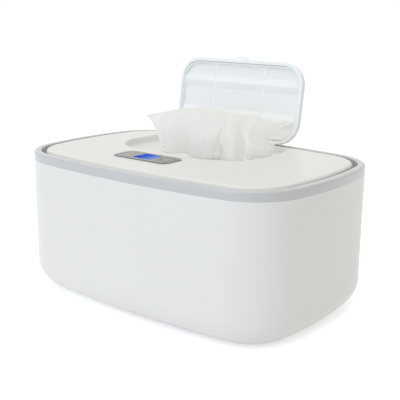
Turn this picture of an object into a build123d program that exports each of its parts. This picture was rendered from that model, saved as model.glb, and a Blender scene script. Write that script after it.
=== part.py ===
from build123d import *
import math
import os

# Baby wipe warmer: a rounded tub with a heated chamber, a hinged lid that carries the
# display and the dispensing slot, and a flip hatch over the slot. Millimetres.
# Origin: centre of the footprint, on the surface the feet stand on. +X runs along the
# length, -Y is the front, +Z is up. The hatch is modelled shut and then swung open.

# ---- overall form -------------------------------------------------------------------
body_length = 240.0
body_width = 161.2
corner_radius = 41.7        # plan radius of the four corners
side_bow = 4.6              # how far the long sides bulge between the corners
end_bow = 2.8               # how far the short sides bulge between the corners
foot_proud = 1.0            # how far the feet stand below the shell
shell_top = 99.8            # where the grey band starts
bottom_round = 20.0         # radius of the lower outside edge

# ---- walls and general fits ---------------------------------------------------------
shell_wall = 2.4
tub_wall = 2.0
lid_wall = 2.0
fixed_gap = 0.2             # between parts that are assembled and stay put
running_gap = 0.06          # radial, pin in a turning barrel
seal_gap = 0.3              # soft seal to the part that closes on it
thread_gap = 0.03           # radial, screw in its plastic boss
board_hole_gap = 0.15       # radial, screw in a circuit board
past = 1.0                  # how far a cut runs past the solid it cuts
level_pick = 0.01           # tolerance for picking edges at a level
edge_pick = 0.1             # tolerance for picking edges by their distance from the outline

# ---- trim ring ----------------------------------------------------------------------
ring_face = 4.85            # height of the upright grey band
ring_round = 1.85           # rounding above that face
ring_width = 5.4
ring_skin = 1.2             # thickness of the ring outside the tub flange
ring_inner_round = 0.8

# ---- inner tub ----------------------------------------------------------------------
tub_flange = 1.5            # flange thickness between shell and ring
ledge_thickness = 2.0
channel_width = 3.6         # open channel between ring and lid
chamber_inset = 14.0        # chamber wall, in from the outside of the shell
chamber_round = 8.0

# ---- lid ----------------------------------------------------------------------------
lid_step = 0.5              # lid top above the ring top
lid_edge_round = 2.8
lid_hinge_set = 3.0         # hinge axis in from the rear face
lid_hinge_drop = 3.3        # hinge axis below the ring top
lid_barrel_radius = 2.6
lid_pin_radius = 1.2
lid_pin_grip = 14.0         # how far the pin runs into the ring on each side
lid_leaf_width = 30.0
lid_leaf_gap = 0.4
lid_leaf_thickness = 3.4
lid_leaf_drop = 0.2         # leaf below the top of its barrel
notch_front_gap = 1.5       # hinge notch in front of the barrel
notch_floor_gap = 0.6       # hinge notch below the barrel

# ---- features of the lid: recess, display strip and hatch share one centre line -------
feature_x = -15.8
recess_side_gap = 2.6       # recess beside the hatch
recess_rear_gap = 1.8       # recess behind the hatch
finger_gap = 12.6           # recess in front of the hatch
recess_front_radius = 34.0
recess_rear_radius = 22.0
recess_depth = 6.0
recess_floor = 1.8          # floor thickness
recess_rim_round = 0.6
recess_foot_round = 1.5

# ---- hatch --------------------------------------------------------------------------
hatch_width = 120.8
hatch_length = 64.2
hatch_radius = 18.4
hatch_thickness = 6.0
hatch_proud = 1.2           # shut, above the lid
hatch_plate = 1.6
hatch_rim = 3.0
hatch_round = 2.2
hatch_lower_round = 0.5
hatch_open_angle = 98.5
hinge_spacing = 8.3         # hatch hinge in front of the lid hinge
hatch_hinge_rise = 2.4      # hinge axis above the recess floor
hatch_reach = 4.5           # from hinge axis to the hatch's rear edge
hatch_barrel_radius = 2.0
hatch_pin_radius = 1.0
knuckle_inset = 23.9        # each knuckle in from the hatch's side
knuckle_width = 10.0
knuckle_gap = 0.2
hatch_pin_grip = 3.8
rail_behind = 2.0           # hinge rail behind the pin's axis
rail_drop = 0.8             # rail top below the lid top
tab_width = 15.0
tab_proud = 2.4
tab_thickness = 3.4
tab_rise = 0.8              # tab above the hatch's lower edge
tab_root = 1.5              # how far the tab runs into the rim

# ---- hatch liner --------------------------------------------------------------------
liner_gap = 0.3             # groove between hatch rim and liner
liner_lip = 1.1
liner_lip_set = 0.4         # lip behind the rim
liner_panel_set = 2.2       # panel behind the rim
liner_sheet = 1.2
upright_rib_height = 0.8
upright_rib_foot = 4.4      # width on the panel
upright_rib_crest = 1.4     # width of its flat top
cross_rib_height = 1.4
cross_rib_foot = 11.0
cross_rib_crest = 1.0
rib_end_gap = 1.0           # from a rib's end to the liner's edge
upright_ribs = (-0.20, 0.20)   # share of the hatch width from its centre
cross_ribs = (18.5, 45.5)      # from the hatch's rear edge

# ---- dispensing slot ----------------------------------------------------------------
slot_reach = 37.8           # slot in front of the hatch's rear edge
slot_length = 64.0
slot_width = 20.0
slot_end_lip = 7.0          # soft frame beyond the slot's ends
slot_side_lip = 6.0         # soft frame along the slot's sides
slot_flange_extra = 3.0
slot_flange = 1.0
slot_flange_round = 0.6
slot_foot = 1.2
slot_foot_extra = 1.5

# ---- lid liner ----------------------------------------------------------------------
lid_liner_clear = 0.8       # liner wall to chamber wall
lid_liner_wall = 1.8
lid_liner_drop = 3.7        # liner bottom below the skirt
lid_liner_flange = 1.6
lid_boss_radius = 3.2
lid_boss_root = 1.0         # solid end of a boss, below the lid plate
lid_screw_bite = 5.0
lid_screw_inset = 29.5      # screws in from the body's outline
lid_screws_on_sides = ((-62, -1), (30, -1), (66, 1))    # x, and -1 front or 1 rear
lid_screws_on_ends = ((-1, -8), (-1, 38), (1, -20))     # -1 left or 1 right, and y
collar_wall = 1.4           # collar of the liner around the slot frame
collar_clear = 1.2
rail_clear = 1.0

# ---- display strip ------------------------------------------------------------------
strip_set = 22.1            # strip's centre in front of the recess
strip_end = 3.5             # from a key to the strip's end
strip_width = 22.4
strip_radius = 5.5
strip_thickness = 1.3
strip_proud = 0.7
strip_land = 2.4            # lid material that carries the strip's edge
strip_edge_round = 0.3
window_length = 16.4
window_width = 15.4
window_radius = 1.0
window_thickness = 1.2
window_gap = 0.1            # window in its opening, over the whole size
key_length = 9.0
key_width = 12.0
key_radius = 2.0
key_window_gap = 4.9        # from a key to the window
key_gap = 0.2
key_clear = 0.1             # key to strip and to switch, up and down
key_post_radius = 1.5
key_travel = 0.4
key_flange = 0.7
board_over_ends = 3.0       # display board beyond the strip's ends
board_over_sides = 2.3      # display board beyond the strip's sides
board_thickness = 1.6
display_board_drop = 5.9    # top of the board below the lid top
lcd_over_ends = 1.5         # display module beyond the window's ends
lcd_over_sides = 1.0        # display module beyond the window's sides
switch_size = 6.0
switch_height = 2.2
display_boss_end = 4.0      # boss in from the board's end
display_boss_side = 3.0     # boss in from the board's side
display_boss_radius = 2.2
display_boss_root = 0.6     # solid end of a boss, below the lid plate
display_screw_bite = 2.6

# ---- seals, feet and screws ---------------------------------------------------------
seal_width = 2.2
seal_height = 1.3
foot_radius = 8.0
foot_seat = 1.2
screw_radius = 1.25
screw_head_radius = 2.8
screw_head_height = 1.6
small_screw_radius = 0.9
small_head_radius = 1.8
small_head_height = 1.2

# ---- base ---------------------------------------------------------------------------
base_thickness = 2.4
base_margin = 2.5           # base plate in from the lower outside edge
shell_flange_width = 7.5    # shell flange that the base plate lies against
base_screw_x = 55.0
base_screw_edge = 4.0       # screws in from the edge of the base plate
base_boss_radius = 3.5
base_boss_height = 8.6
vent_length = 34.0
vent_width = 2.0
vent_pitch = 6.0
vent_count = 6
vent_x = -40.0

# ---- heater -------------------------------------------------------------------------
heater_margin = 10.0        # heater in from the flat of the chamber's underside
heater_radius = 8.0
heater_plate_thickness = 1.2
heater_film_thickness = 0.4
film_margin = 3.0
felt_margin = 2.0
felt_thickness = 4.0
felt_air_gap = 1.3          # felt above the tallest component
cutout_length = 12.0
cutout_width = 7.0
cutout_height = 3.5
cutout_x = -30.0
sensor_radius = 1.8
sensor_length = 7.0
sensor_x = -55.0
fuse_radius = 2.0
fuse_length = 11.0
fuse_x = -5.0

# ---- power board and inlet ----------------------------------------------------------
inlet_x = 24.0
inlet_bore_radius = 3.1
inlet_pin_radius = 1.0
inlet_body_width = 9.0
inlet_body_height = 10.0
inlet_body_length = 14.0
inlet_axis_rise = 5.6       # above the board
inlet_back_wall = 3.0
inlet_pin_set = 1.0         # pin behind the face of its collar
inlet_collar_radius = 4.0
inlet_collar_gap = 0.1
inlet_pocket_width = 16.0
inlet_pocket_height = 12.0
inlet_pocket_depth = 12.6   # from the rear face of the shell
power_board_length = 56.0
power_board_width = 38.0
power_board_standoff = 3.6
power_board_set = 2.0       # middle of the board beside the inlet
power_board_gap = 0.5       # board to the inlet pocket
power_screw_end = 6.0       # screws in from the board's ends
power_screw_rows = (3.5, 18.5)   # screws from the board's front edge
board_boss_radius = 2.6
board_boss_floor = 1.0      # material left under a pilot hole
board_screw_bite = 2.2
capacitor_height = 6.5      # the tallest component
capacitor_radius = 3.2
capacitor_place = (12.0, 10.5)   # from the board's middle and from its front edge
coil_place = (-12.0, 12.5)
coil_size = (8.0, 8.0, 4.5)
regulator_place = (-1.0, 9.0)
regulator_size = (8.0, 5.0, 3.0)
heater_socket_place = (-22.0, 11.0)
heater_socket_size = (6.0, 7.0, 5.5)
lid_socket_place = (22.0, 28.5)
lid_socket_size = (6.0, 8.0, 5.5)

# ---- wipes --------------------------------------------------------------------------
stack_end_gap = 5.0         # stack in from the flat of the chamber's floor
stack_side_gap = 7.6
stack_height = 46.0
stack_radius = 8.0
soft_gap = 0.3
plume_rings = (              # height above the slot frame, then left, right, front, rear from the
    (0.0, -31.0, 45.5, -17.5, 10.0, 6.0),       # slot's centre, and the corner cut
    (9.7, -35.5, 50.0, -19.5, 14.0, 7.0),
    (19.7, -43.0, 54.0, -17.5, 22.0, 9.0),
    (26.7, -46.5, 57.5, -12.0, 29.0, 11.0),
    (35.2, -28.0, 36.0, -2.0, 7.0, 3.0))

# ---- levels worked out from the sizes above -----------------------------------------
ring_top = shell_top + ring_face + ring_round
lid_top = ring_top + lid_step
lid_inset = ring_width + channel_width
recess_level = lid_top - recess_depth
lid_bottom = recess_level - recess_floor
ledge_top = lid_bottom - seal_gap - seal_height
base_top = foot_proud + base_thickness
board_low = base_top + power_board_standoff
board_top = board_low + board_thickness
felt_low = board_top + capacitor_height + felt_air_gap
felt_top = felt_low + felt_thickness
film_top = felt_top + heater_film_thickness
tub_bottom = film_top + heater_plate_thickness
chamber_floor = tub_bottom + tub_wall
lid_hinge_y = body_width / 2 - lid_hinge_set
lid_hinge_z = ring_top - lid_hinge_drop
hatch_hinge_y = lid_hinge_y - hinge_spacing
hatch_hinge_z = recess_level + hatch_hinge_rise
hatch_top = lid_top + hatch_proud
hatch_low = hatch_top - hatch_thickness
hatch_rear = hatch_hinge_y - hatch_reach
hatch_mid_y = hatch_rear - hatch_length / 2
free_edge = hatch_rear - hatch_length
recess_width = hatch_width + 2 * recess_side_gap
recess_front = free_edge - finger_gap
recess_rear = hatch_rear + recess_rear_gap
rail_rear = hatch_hinge_y + rail_behind
knuckle_spread = hatch_width / 2 - knuckle_inset
slot_y = hatch_rear - slot_reach
strip_y = recess_front - strip_set
key_spread = window_length / 2 + key_window_gap + key_length / 2
strip_length = 2 * (key_spread + key_length / 2 + strip_end)
liner_bottom = lid_bottom - lid_liner_drop


# ---- plan outline -------------------------------------------------------------------
corner_x = body_length / 2 - end_bow - corner_radius
corner_y = body_width / 2 - side_bow - corner_radius


def arc_radius(half_chord, rise):
    return (half_chord ** 2 + rise ** 2) / (2 * rise)


side_radius = arc_radius(corner_x, side_bow)
end_radius = arc_radius(corner_y, end_bow)
side_angle = math.asin(corner_x / side_radius)
end_angle = math.asin(corner_y / end_radius)


def side_y(x, inset):
    """Y of the rear side of the outline at x, drawn in by inset."""
    radius = side_radius + corner_radius - inset
    return body_width / 2 - side_radius - corner_radius + math.sqrt(radius ** 2 - x ** 2)


def end_x(y, inset):
    """X of the right end of the outline at y, drawn in by inset."""
    radius = end_radius + corner_radius - inset
    return body_length / 2 - end_radius - corner_radius + math.sqrt(radius ** 2 - y ** 2)


def inset_of(point):
    """How far a point lies inside the body's outline."""
    x, y = abs(point.X), abs(point.Y)
    if x > corner_x and y > corner_y:
        return corner_radius - math.hypot(x - corner_x, y - corner_y)
    side_mid = side_radius + corner_radius
    end_mid = end_radius + corner_radius
    from_side = side_mid - math.hypot(x, y - (body_width / 2 - side_mid))
    from_end = end_mid - math.hypot(x - (body_length / 2 - end_mid), y)
    return min(from_side, from_end)


def plan(inset):
    """The body's outline, drawn in by inset: four bowed sides and four round corners."""
    radius = corner_radius - inset
    end_mid = corner_x + end_bow + radius
    side_mid = corner_y + side_bow + radius
    end_point = (corner_x + radius * math.cos(end_angle), corner_y + radius * math.sin(end_angle))
    side_point = (corner_x + radius * math.sin(side_angle), corner_y + radius * math.cos(side_angle))
    middle = (end_angle + math.pi / 2 - side_angle) / 2
    corner_mid = (corner_x + radius * math.cos(middle), corner_y + radius * math.sin(middle))

    def flip(point, sx, sy):
        return (point[0] * sx, point[1] * sy)

    arcs = []
    for sx in (1, -1):
        arcs.append(ThreePointArc(flip(end_point, sx, -1), (sx * end_mid, 0), flip(end_point, sx, 1)))
        arcs.append(ThreePointArc(flip(side_point, -1, sx), (0, sx * side_mid), flip(side_point, 1, sx)))
        for sy in (1, -1):
            corner = [flip(point, sx, sy) for point in (end_point, corner_mid, side_point)]
            arcs.append(ThreePointArc(*corner))
    return make_face(Wire(arcs))


def prism(face, low, high):
    return extrude(Plane.XY.offset(low) * face, high - low)


def block(inset, low, high):
    return prism(plan(inset), low, high)


def rounded(length, width, radius, x, y):
    return Pos(x, y) * RectangleRounded(length, width, radius)


def stadium(length, width, x, y):
    return Pos(x, y) * SlotOverall(length, width)


def box(x0, x1, y0, y1, z0, z1):
    return Pos((x0 + x1) / 2, (y0 + y1) / 2, (z0 + z1) / 2) * Box(x1 - x0, y1 - y0, z1 - z0)


def rod_x(radius, x0, x1, y, z):
    return Pos((x0 + x1) / 2, y, z) * Rot(0, 90, 0) * Cylinder(radius, x1 - x0)


def rod_y(radius, x, y0, y1, z):
    return Pos(x, (y0 + y1) / 2, z) * Rot(90, 0, 0) * Cylinder(radius, y1 - y0)


def rod_z(radius, x, y, z0, z1):
    return Pos(x, y, (z0 + z1) / 2) * Cylinder(radius, z1 - z0)


def edges_at(shape, level):
    return shape.edges().filter_by_position(Axis.Z, level - level_pick, level + level_pick)


def dish(grow=0.0):
    """The oval recess in the lid, with rounder corners at the front than at the rear."""
    half = recess_width / 2 + grow
    front = recess_front - grow
    rear = recess_rear + grow
    face = Pos(feature_x, (front + rear) / 2) * Rectangle(2 * half, rear - front)
    corners = face.vertices().sort_by(Axis.Y)
    face = fillet(corners[0:2], recess_front_radius + grow)
    corners = [v for v in face.vertices() if v.Y > rear - level_pick]
    return fillet(corners, recess_rear_radius + grow)


def hatch_outline(inset):
    return rounded(hatch_width - 2 * inset, hatch_length - 2 * inset, hatch_radius - inset,
                   feature_x, hatch_mid_y)


def swing_open(shape):
    return shape.rotate(Axis((0, hatch_hinge_y, hatch_hinge_z), (1, 0, 0)), -hatch_open_angle)


def solids_of(shapes):
    found = []
    for shape in shapes:
        found.extend(shape.solids())
    return Compound(children=found)


def pan_screw(radius, head_radius, head_height, x, y, head_z, length):
    """A pan-head screw driven upwards: its head is at the bottom."""
    head = rod_z(head_radius, x, y, head_z, head_z + head_height)
    return head + rod_z(radius, x, y, head_z + head_height, head_z + head_height + length)


parts = {}

# ---- outer shell --------------------------------------------------------------------
inlet_z = board_top + inlet_axis_rise
pocket_low = inlet_z - inlet_pocket_height / 2
pocket_high = inlet_z + inlet_pocket_height / 2
pocket_half = inlet_pocket_width / 2
inlet_pocket_back = body_width / 2 - inlet_pocket_depth
pocket_face = inlet_pocket_back - tub_wall     # inside face of the pocket's back wall
base_inset = bottom_round + base_margin


def shell_body(inset, low, radius):
    body = block(inset, low, shell_top)
    return fillet(edges_at(body, low), radius)


base_screw_y = side_y(base_screw_x, base_inset + base_screw_edge)
base_screw_spots = [(sx * base_screw_x, sy * base_screw_y) for sx in (1, -1) for sy in (1, -1)]
outer_form = shell_body(0, foot_proud, bottom_round)
shell = outer_form - shell_body(shell_wall, base_top, bottom_round - shell_wall)
pocket_walls = box(inlet_x - pocket_half - tub_wall, inlet_x + pocket_half + tub_wall,
                   pocket_face, body_width / 2, pocket_low - tub_wall, pocket_high + tub_wall)
shell += pocket_walls & outer_form
shell -= block(base_inset - fixed_gap, 0, base_top)
shell += block(bottom_round - past, base_top, base_top + tub_wall) - block(
    base_inset + shell_flange_width, base_top, base_top + tub_wall)
for x, y in base_screw_spots:
    shell += rod_z(base_boss_radius, x, y, base_top, base_top + base_boss_height + tub_wall)
for x, y in base_screw_spots:
    shell -= rod_z(screw_radius, x, y, 0, base_top + base_boss_height)
shell -= box(inlet_x - pocket_half, inlet_x + pocket_half, inlet_pocket_back, body_width,
             pocket_low, pocket_high)
shell -= rod_y(inlet_collar_radius, inlet_x, pocket_face - past, inlet_pocket_back + past, inlet_z)
parts["outer_shell"] = shell

# ---- inner tub: chamber, ledge under the lid, and the flange held by the ring --------
flange_inset = ring_skin + fixed_gap
flange_top = shell_top + tub_flange
riser_inset = ring_width - tub_wall
ledge_low = ledge_top - ledge_thickness
chamber_outer = chamber_inset - tub_wall
tub = block(flange_inset, shell_top, flange_top) - block(ring_width, shell_top, flange_top)
tub += block(riser_inset, ledge_low, flange_top) - block(ring_width, ledge_top, flange_top)
well = block(chamber_outer, tub_bottom, ledge_low + past)
tub += fillet(edges_at(well, tub_bottom), chamber_round + tub_wall)
hollow = block(chamber_inset, chamber_floor, ledge_top)
tub -= fillet(edges_at(hollow, chamber_floor), chamber_round)
leaf_half = lid_leaf_width / 2
notch_half = leaf_half + lid_leaf_gap
barrel_low = lid_hinge_z - lid_barrel_radius
notch_front = lid_hinge_y - lid_barrel_radius - notch_front_gap
hinge_notch = box(-notch_half, notch_half, notch_front, body_width, barrel_low - notch_floor_gap,
                  lid_top)
tub -= hinge_notch
parts["inner_tub"] = tub

# ---- trim ring ----------------------------------------------------------------------
ring = block(0, shell_top, ring_top)
ring = fillet(edges_at(ring, ring_top), ring_round)
ring -= block(ring_width, shell_top, ring_top)
inner_rim = [e for e in edges_at(ring, ring_top) if inset_of(e @ 0.5) > ring_width - edge_pick]
ring = fillet(inner_rim, ring_inner_round)
ring -= block(ring_skin, shell_top, flange_top)
ring -= box(-notch_half, notch_half, 0, body_width, shell_top - past, ring_top + past)
pin_half = notch_half + lid_pin_grip
ring -= rod_x(lid_pin_radius, -pin_half, pin_half, lid_hinge_y, lid_hinge_z)
parts["trim_ring"] = ring
parts["lid_hinge_pin"] = rod_x(lid_pin_radius, -pin_half, pin_half, lid_hinge_y, lid_hinge_z)

# ---- lid seal on the tub's ledge ----------------------------------------------------
seal_inset = lid_inset + fixed_gap
parts["lid_seal"] = block(seal_inset, ledge_top, ledge_top + seal_height) - block(
    seal_inset + seal_width, ledge_top, ledge_top + seal_height)

# ---- base plate, feet and screws ----------------------------------------------------
foot_spots = [(sx * corner_x, sy * corner_y) for sx in (1, -1) for sy in (1, -1)]
power_board_x = inlet_x - power_board_set
board_front = pocket_face - power_board_gap - power_board_width
power_screw_x = power_board_length / 2 - power_screw_end
power_screw_spots = [(power_board_x + sx * power_screw_x, board_front + row) for sx in (1, -1)
                     for row in power_screw_rows]
plate = block(base_inset, foot_proud, base_top)
for x, y in power_screw_spots:
    plate += rod_z(board_boss_radius, x, y, base_top, board_low)
for x, y in foot_spots:
    plate -= rod_z(foot_radius + fixed_gap / 2, x, y, 0, foot_proud + foot_seat)
for x, y in base_screw_spots:
    plate -= rod_z(screw_radius + fixed_gap, x, y, 0, base_top)
    plate -= rod_z(screw_head_radius + fixed_gap, x, y, 0, foot_proud + screw_head_height)
for x, y in power_screw_spots:
    plate -= rod_z(small_screw_radius, x, y, foot_proud + board_boss_floor, board_low)
for place in range(vent_count):
    x = vent_x + (place - (vent_count - 1) / 2) * vent_pitch
    slot = Pos(x, 0) * Rot(0, 0, 90) * SlotOverall(vent_length, vent_width)
    plate -= prism(slot, 0, base_top + past)
parts["base_plate"] = plate
parts["rubber_feet"] = solids_of(
    [rod_z(foot_radius, x, y, 0, foot_proud + foot_seat) for x, y in foot_spots])
base_screw_length = base_boss_height - screw_head_height
parts["base_screws"] = solids_of(
    [pan_screw(screw_radius - thread_gap, screw_head_radius, screw_head_height, x, y, foot_proud,
               base_screw_length) for x, y in base_screw_spots])

# ---- heater under the chamber: plate, film, felt, safety cut-out, sensor and fuse ----
heater_inset = chamber_outer + chamber_round + tub_wall + heater_margin
heater_length = body_length - 2 * heater_inset
heater_width = body_width - 2 * heater_inset


def sheet(margin, low, high):
    face = rounded(heater_length + 2 * margin, heater_width + 2 * margin, heater_radius + margin, 0, 0)
    return prism(face, low, high)


parts["heater_plate"] = sheet(0, film_top, tub_bottom)
parts["heater_film"] = sheet(-film_margin, felt_top, film_top)
cutout = box(cutout_x - cutout_length / 2, cutout_x + cutout_length / 2, -cutout_width / 2,
             cutout_width / 2, felt_top - cutout_height, felt_top)
sensor = rod_y(sensor_radius, sensor_x, -sensor_length / 2, sensor_length / 2,
               felt_top - sensor_radius)
fuse = rod_x(fuse_radius, fuse_x - fuse_length / 2, fuse_x + fuse_length / 2, 0,
             felt_top - fuse_radius)
parts["thermal_cutout"] = cutout
parts["temperature_sensor"] = sensor
parts["thermal_fuse"] = fuse
felt = sheet(felt_margin, felt_low, felt_top)
for piece in (cutout, sensor, fuse):
    size = piece.bounding_box()
    felt -= box(size.min.X - soft_gap, size.max.X + soft_gap, size.min.Y - soft_gap,
                size.max.Y + soft_gap, felt_low, felt_top)
parts["insulation_felt"] = felt

# ---- power board with its components, and the inlet ----------------------------------
board = box(power_board_x - power_board_length / 2, power_board_x + power_board_length / 2,
            board_front, board_front + power_board_width, board_low, board_top)
for x, y in power_screw_spots:
    board -= rod_z(small_screw_radius + board_hole_gap, x, y, board_low, board_top)
parts["power_board"] = board
parts["power_board_screws"] = solids_of(
    [rod_z(small_head_radius, x, y, board_top, board_top + small_head_height)
     + rod_z(small_screw_radius - thread_gap, x, y, board_low - board_screw_bite, board_top)
     for x, y in power_screw_spots])


def on_board(place, size):
    """A square component on the board, placed by its middle."""
    x, y = power_board_x + place[0], board_front + place[1]
    length, width, height = size
    return box(x - length / 2, x + length / 2, y - width / 2, y + width / 2, board_top,
               board_top + height)


coil = on_board(coil_place, coil_size)
capacitor = rod_z(capacitor_radius, power_board_x + capacitor_place[0],
                  board_front + capacitor_place[1], board_top, board_top + capacitor_height)
regulator = on_board(regulator_place, regulator_size)
heater_socket = on_board(heater_socket_place, heater_socket_size)
lid_socket = on_board(lid_socket_place, lid_socket_size)
parts["power_board_parts"] = solids_of([coil, capacitor, regulator, heater_socket, lid_socket])
jack_back = pocket_face - inlet_body_length
jack = box(inlet_x - inlet_body_width / 2, inlet_x + inlet_body_width / 2, jack_back, pocket_face,
           board_top, board_top + inlet_body_height)
jack += rod_y(inlet_collar_radius - inlet_collar_gap, inlet_x, pocket_face - past,
              inlet_pocket_back, inlet_z)
jack -= rod_y(inlet_bore_radius, inlet_x, jack_back + inlet_back_wall, inlet_pocket_back + past,
              inlet_z)
jack += rod_y(inlet_pin_radius, inlet_x, jack_back + inlet_back_wall - past,
              inlet_pocket_back - inlet_pin_set, inlet_z)
parts["power_inlet"] = jack

# ---- wipes: the folded stack, and the wipe pulled up through the slot ----------------
stack_low = chamber_floor + fixed_gap
floor_inset = chamber_inset + chamber_round
stack_length = body_length - 2 * (floor_inset + stack_end_gap)
stack_width = body_width - 2 * (floor_inset + stack_side_gap)
parts["wipe_stack"] = prism(rounded(stack_length, stack_width, stack_radius, 0, 0), stack_low,
                            stack_low + stack_height)
frame_top = recess_level + slot_flange
plume_low = frame_top + soft_gap


def cut_corners(left, right, front, rear, corner, level):
    """Face of a rectangle with cut corners, placed from the slot's centre."""
    points = [(left + corner, front), (right - corner, front), (right, front + corner),
              (right, rear - corner), (right - corner, rear), (left + corner, rear),
              (left, rear - corner), (left, front + corner)]
    return Pos(feature_x, slot_y, level) * make_face(Polyline(*points, close=True))


levels = [cut_corners(*ring[1:], plume_low + ring[0]) for ring in plume_rings]
plume = loft(levels[:2], ruled=True)
for low, high in zip(levels[1:], levels[2:]):
    plume += loft([low, high], ruled=True)
parts["pulled_wipe"] = plume

# ---- lid cover ----------------------------------------------------------------------
insert_length = slot_length + 2 * slot_end_lip
insert_width = slot_width + 2 * slot_side_lip
hatch_notch_half = knuckle_width / 2 + knuckle_gap
hatch_pin_half = hatch_notch_half + hatch_pin_grip
rail_left = feature_x - knuckle_spread - hatch_pin_half
rail_right = feature_x + knuckle_spread + hatch_pin_half
rail_top = lid_top - rail_drop
knuckles = [feature_x + side * knuckle_spread for side in (-1, 1)]
plate_low = lid_top - lid_wall
board_level = lid_top - display_board_drop
display_board_length = strip_length + 2 * board_over_ends
display_board_width = strip_width + 2 * board_over_sides
display_boss_x = display_board_length / 2 - display_boss_end
display_boss_y = display_board_width / 2 - display_boss_side
display_bosses = [(feature_x + sx * display_boss_x, strip_y + sy * display_boss_y)
                  for sx in (1, -1) for sy in (1, -1)]
lid_screw_places = [(x, side * side_y(x, lid_screw_inset)) for x, side in lid_screws_on_sides]
lid_screw_places += [(side * end_x(y, lid_screw_inset), y) for side, y in lid_screws_on_ends]

lid_body = block(lid_inset, lid_bottom, lid_top)
lid_body = fillet(edges_at(lid_body, lid_top), lid_edge_round)
cover = lid_body - block(lid_inset + lid_wall, lid_bottom, plate_low)
cover += prism(dish(recess_floor), lid_bottom, plate_low) & lid_body
hollow = prism(dish(), recess_level, lid_top)
hollow = fillet(edges_at(hollow, recess_level), recess_foot_round)
cover -= hollow
rim = [e for e in edges_at(cover, lid_top) if inset_of(e @ 0.5) > lid_inset + lid_edge_round + edge_pick]
cover = fillet(rim, recess_rim_round)
cover += box(rail_left, rail_right, recess_rear, rail_rear, lid_bottom, rail_top)
for x in knuckles:
    cover -= box(x - hatch_notch_half, x + hatch_notch_half, recess_rear - past, rail_rear + past,
                 recess_level, lid_top + past)
    cover -= rod_x(hatch_pin_radius, x - hatch_pin_half, x + hatch_pin_half, hatch_hinge_y,
                   hatch_hinge_z)
leaf_high = lid_hinge_z + lid_barrel_radius - lid_leaf_drop
cover += box(-leaf_half, leaf_half, rail_rear - past, lid_hinge_y, leaf_high - lid_leaf_thickness,
             leaf_high)
cover += rod_x(lid_barrel_radius, -leaf_half, leaf_half, lid_hinge_y, lid_hinge_z)
cover -= rod_x(lid_pin_radius + running_gap, -leaf_half, leaf_half, lid_hinge_y, lid_hinge_z)
for x, y in lid_screw_places:
    cover += rod_z(lid_boss_radius, x, y, liner_bottom + lid_liner_wall, plate_low)
    cover -= rod_z(screw_radius, x, y, liner_bottom + lid_liner_wall, plate_low - lid_boss_root)
for x, y in display_bosses:
    cover += rod_z(display_boss_radius, x, y, board_level, plate_low)
    cover -= rod_z(small_screw_radius, x, y, board_level, plate_low - display_boss_root)
cover -= prism(stadium(insert_length + fixed_gap, insert_width + fixed_gap, feature_x, slot_y),
               lid_bottom - past, recess_level + past)
strip_low = lid_top + strip_proud - strip_thickness
cover -= prism(rounded(strip_length + fixed_gap, strip_width + fixed_gap, strip_radius + fixed_gap / 2,
                       feature_x, strip_y), strip_low, lid_top + past)
cover -= prism(rounded(strip_length - 2 * strip_land, strip_width - 2 * strip_land,
                       strip_radius - strip_land, feature_x, strip_y), plate_low - past, strip_low + past)
parts["lid_cover"] = cover
parts["hatch_hinge_pins"] = solids_of(
    [rod_x(hatch_pin_radius, x - hatch_pin_half, x + hatch_pin_half, hatch_hinge_y, hatch_hinge_z)
     for x in knuckles])

# ---- soft frame of the dispensing slot ----------------------------------------------
flange_length = insert_length + 2 * slot_flange_extra
flange_width = insert_width + 2 * slot_flange_extra
foot_length = insert_length + 2 * slot_foot_extra
foot_width = insert_width + 2 * slot_foot_extra
frame = prism(stadium(flange_length, flange_width, feature_x, slot_y), recess_level, frame_top)
frame = fillet(edges_at(frame, frame_top), slot_flange_round)
frame += prism(stadium(insert_length, insert_width, feature_x, slot_y), lid_bottom, recess_level)
frame += prism(stadium(foot_length, foot_width, feature_x, slot_y), lid_bottom - slot_foot, lid_bottom)
frame -= prism(stadium(slot_length, slot_width, feature_x, slot_y), lid_bottom - slot_foot - past,
               frame_top + past)
parts["slot_frame"] = frame

# ---- lid liner ----------------------------------------------------------------------
flange_in = lid_inset + lid_wall + fixed_gap
liner_inset = chamber_inset + lid_liner_clear
collar_length = foot_length + 2 * collar_clear
collar_width = foot_width + 2 * collar_clear
lid_liner = block(flange_in, lid_bottom, lid_bottom + lid_liner_flange)
lid_liner += block(liner_inset, liner_bottom, lid_bottom + lid_liner_flange)
lid_liner -= block(liner_inset + lid_liner_wall, liner_bottom + lid_liner_wall,
                   lid_bottom + lid_liner_flange)
lid_liner += prism(stadium(collar_length + 2 * collar_wall, collar_width + 2 * collar_wall, feature_x,
                           slot_y), liner_bottom, lid_bottom)
lid_liner -= prism(stadium(collar_length, collar_width, feature_x, slot_y), liner_bottom, lid_bottom)
lid_liner -= prism(dish(recess_floor + fixed_gap), lid_bottom, lid_top)
lid_liner -= box(rail_left - rail_clear, rail_right + rail_clear, recess_rear - rail_clear, body_width,
                 lid_bottom, lid_top)
for x, y in lid_screw_places:
    lid_liner -= rod_z(screw_radius + fixed_gap, x, y, liner_bottom, liner_bottom + lid_liner_wall)
    lid_liner -= rod_z(lid_boss_radius + fixed_gap, x, y, liner_bottom + lid_liner_wall, lid_top)
parts["lid_liner"] = lid_liner
parts["lid_screws"] = solids_of(
    [pan_screw(screw_radius - thread_gap, screw_head_radius, screw_head_height, x, y,
               liner_bottom - screw_head_height, lid_liner_wall + lid_screw_bite)
     for x, y in lid_screw_places])

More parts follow.
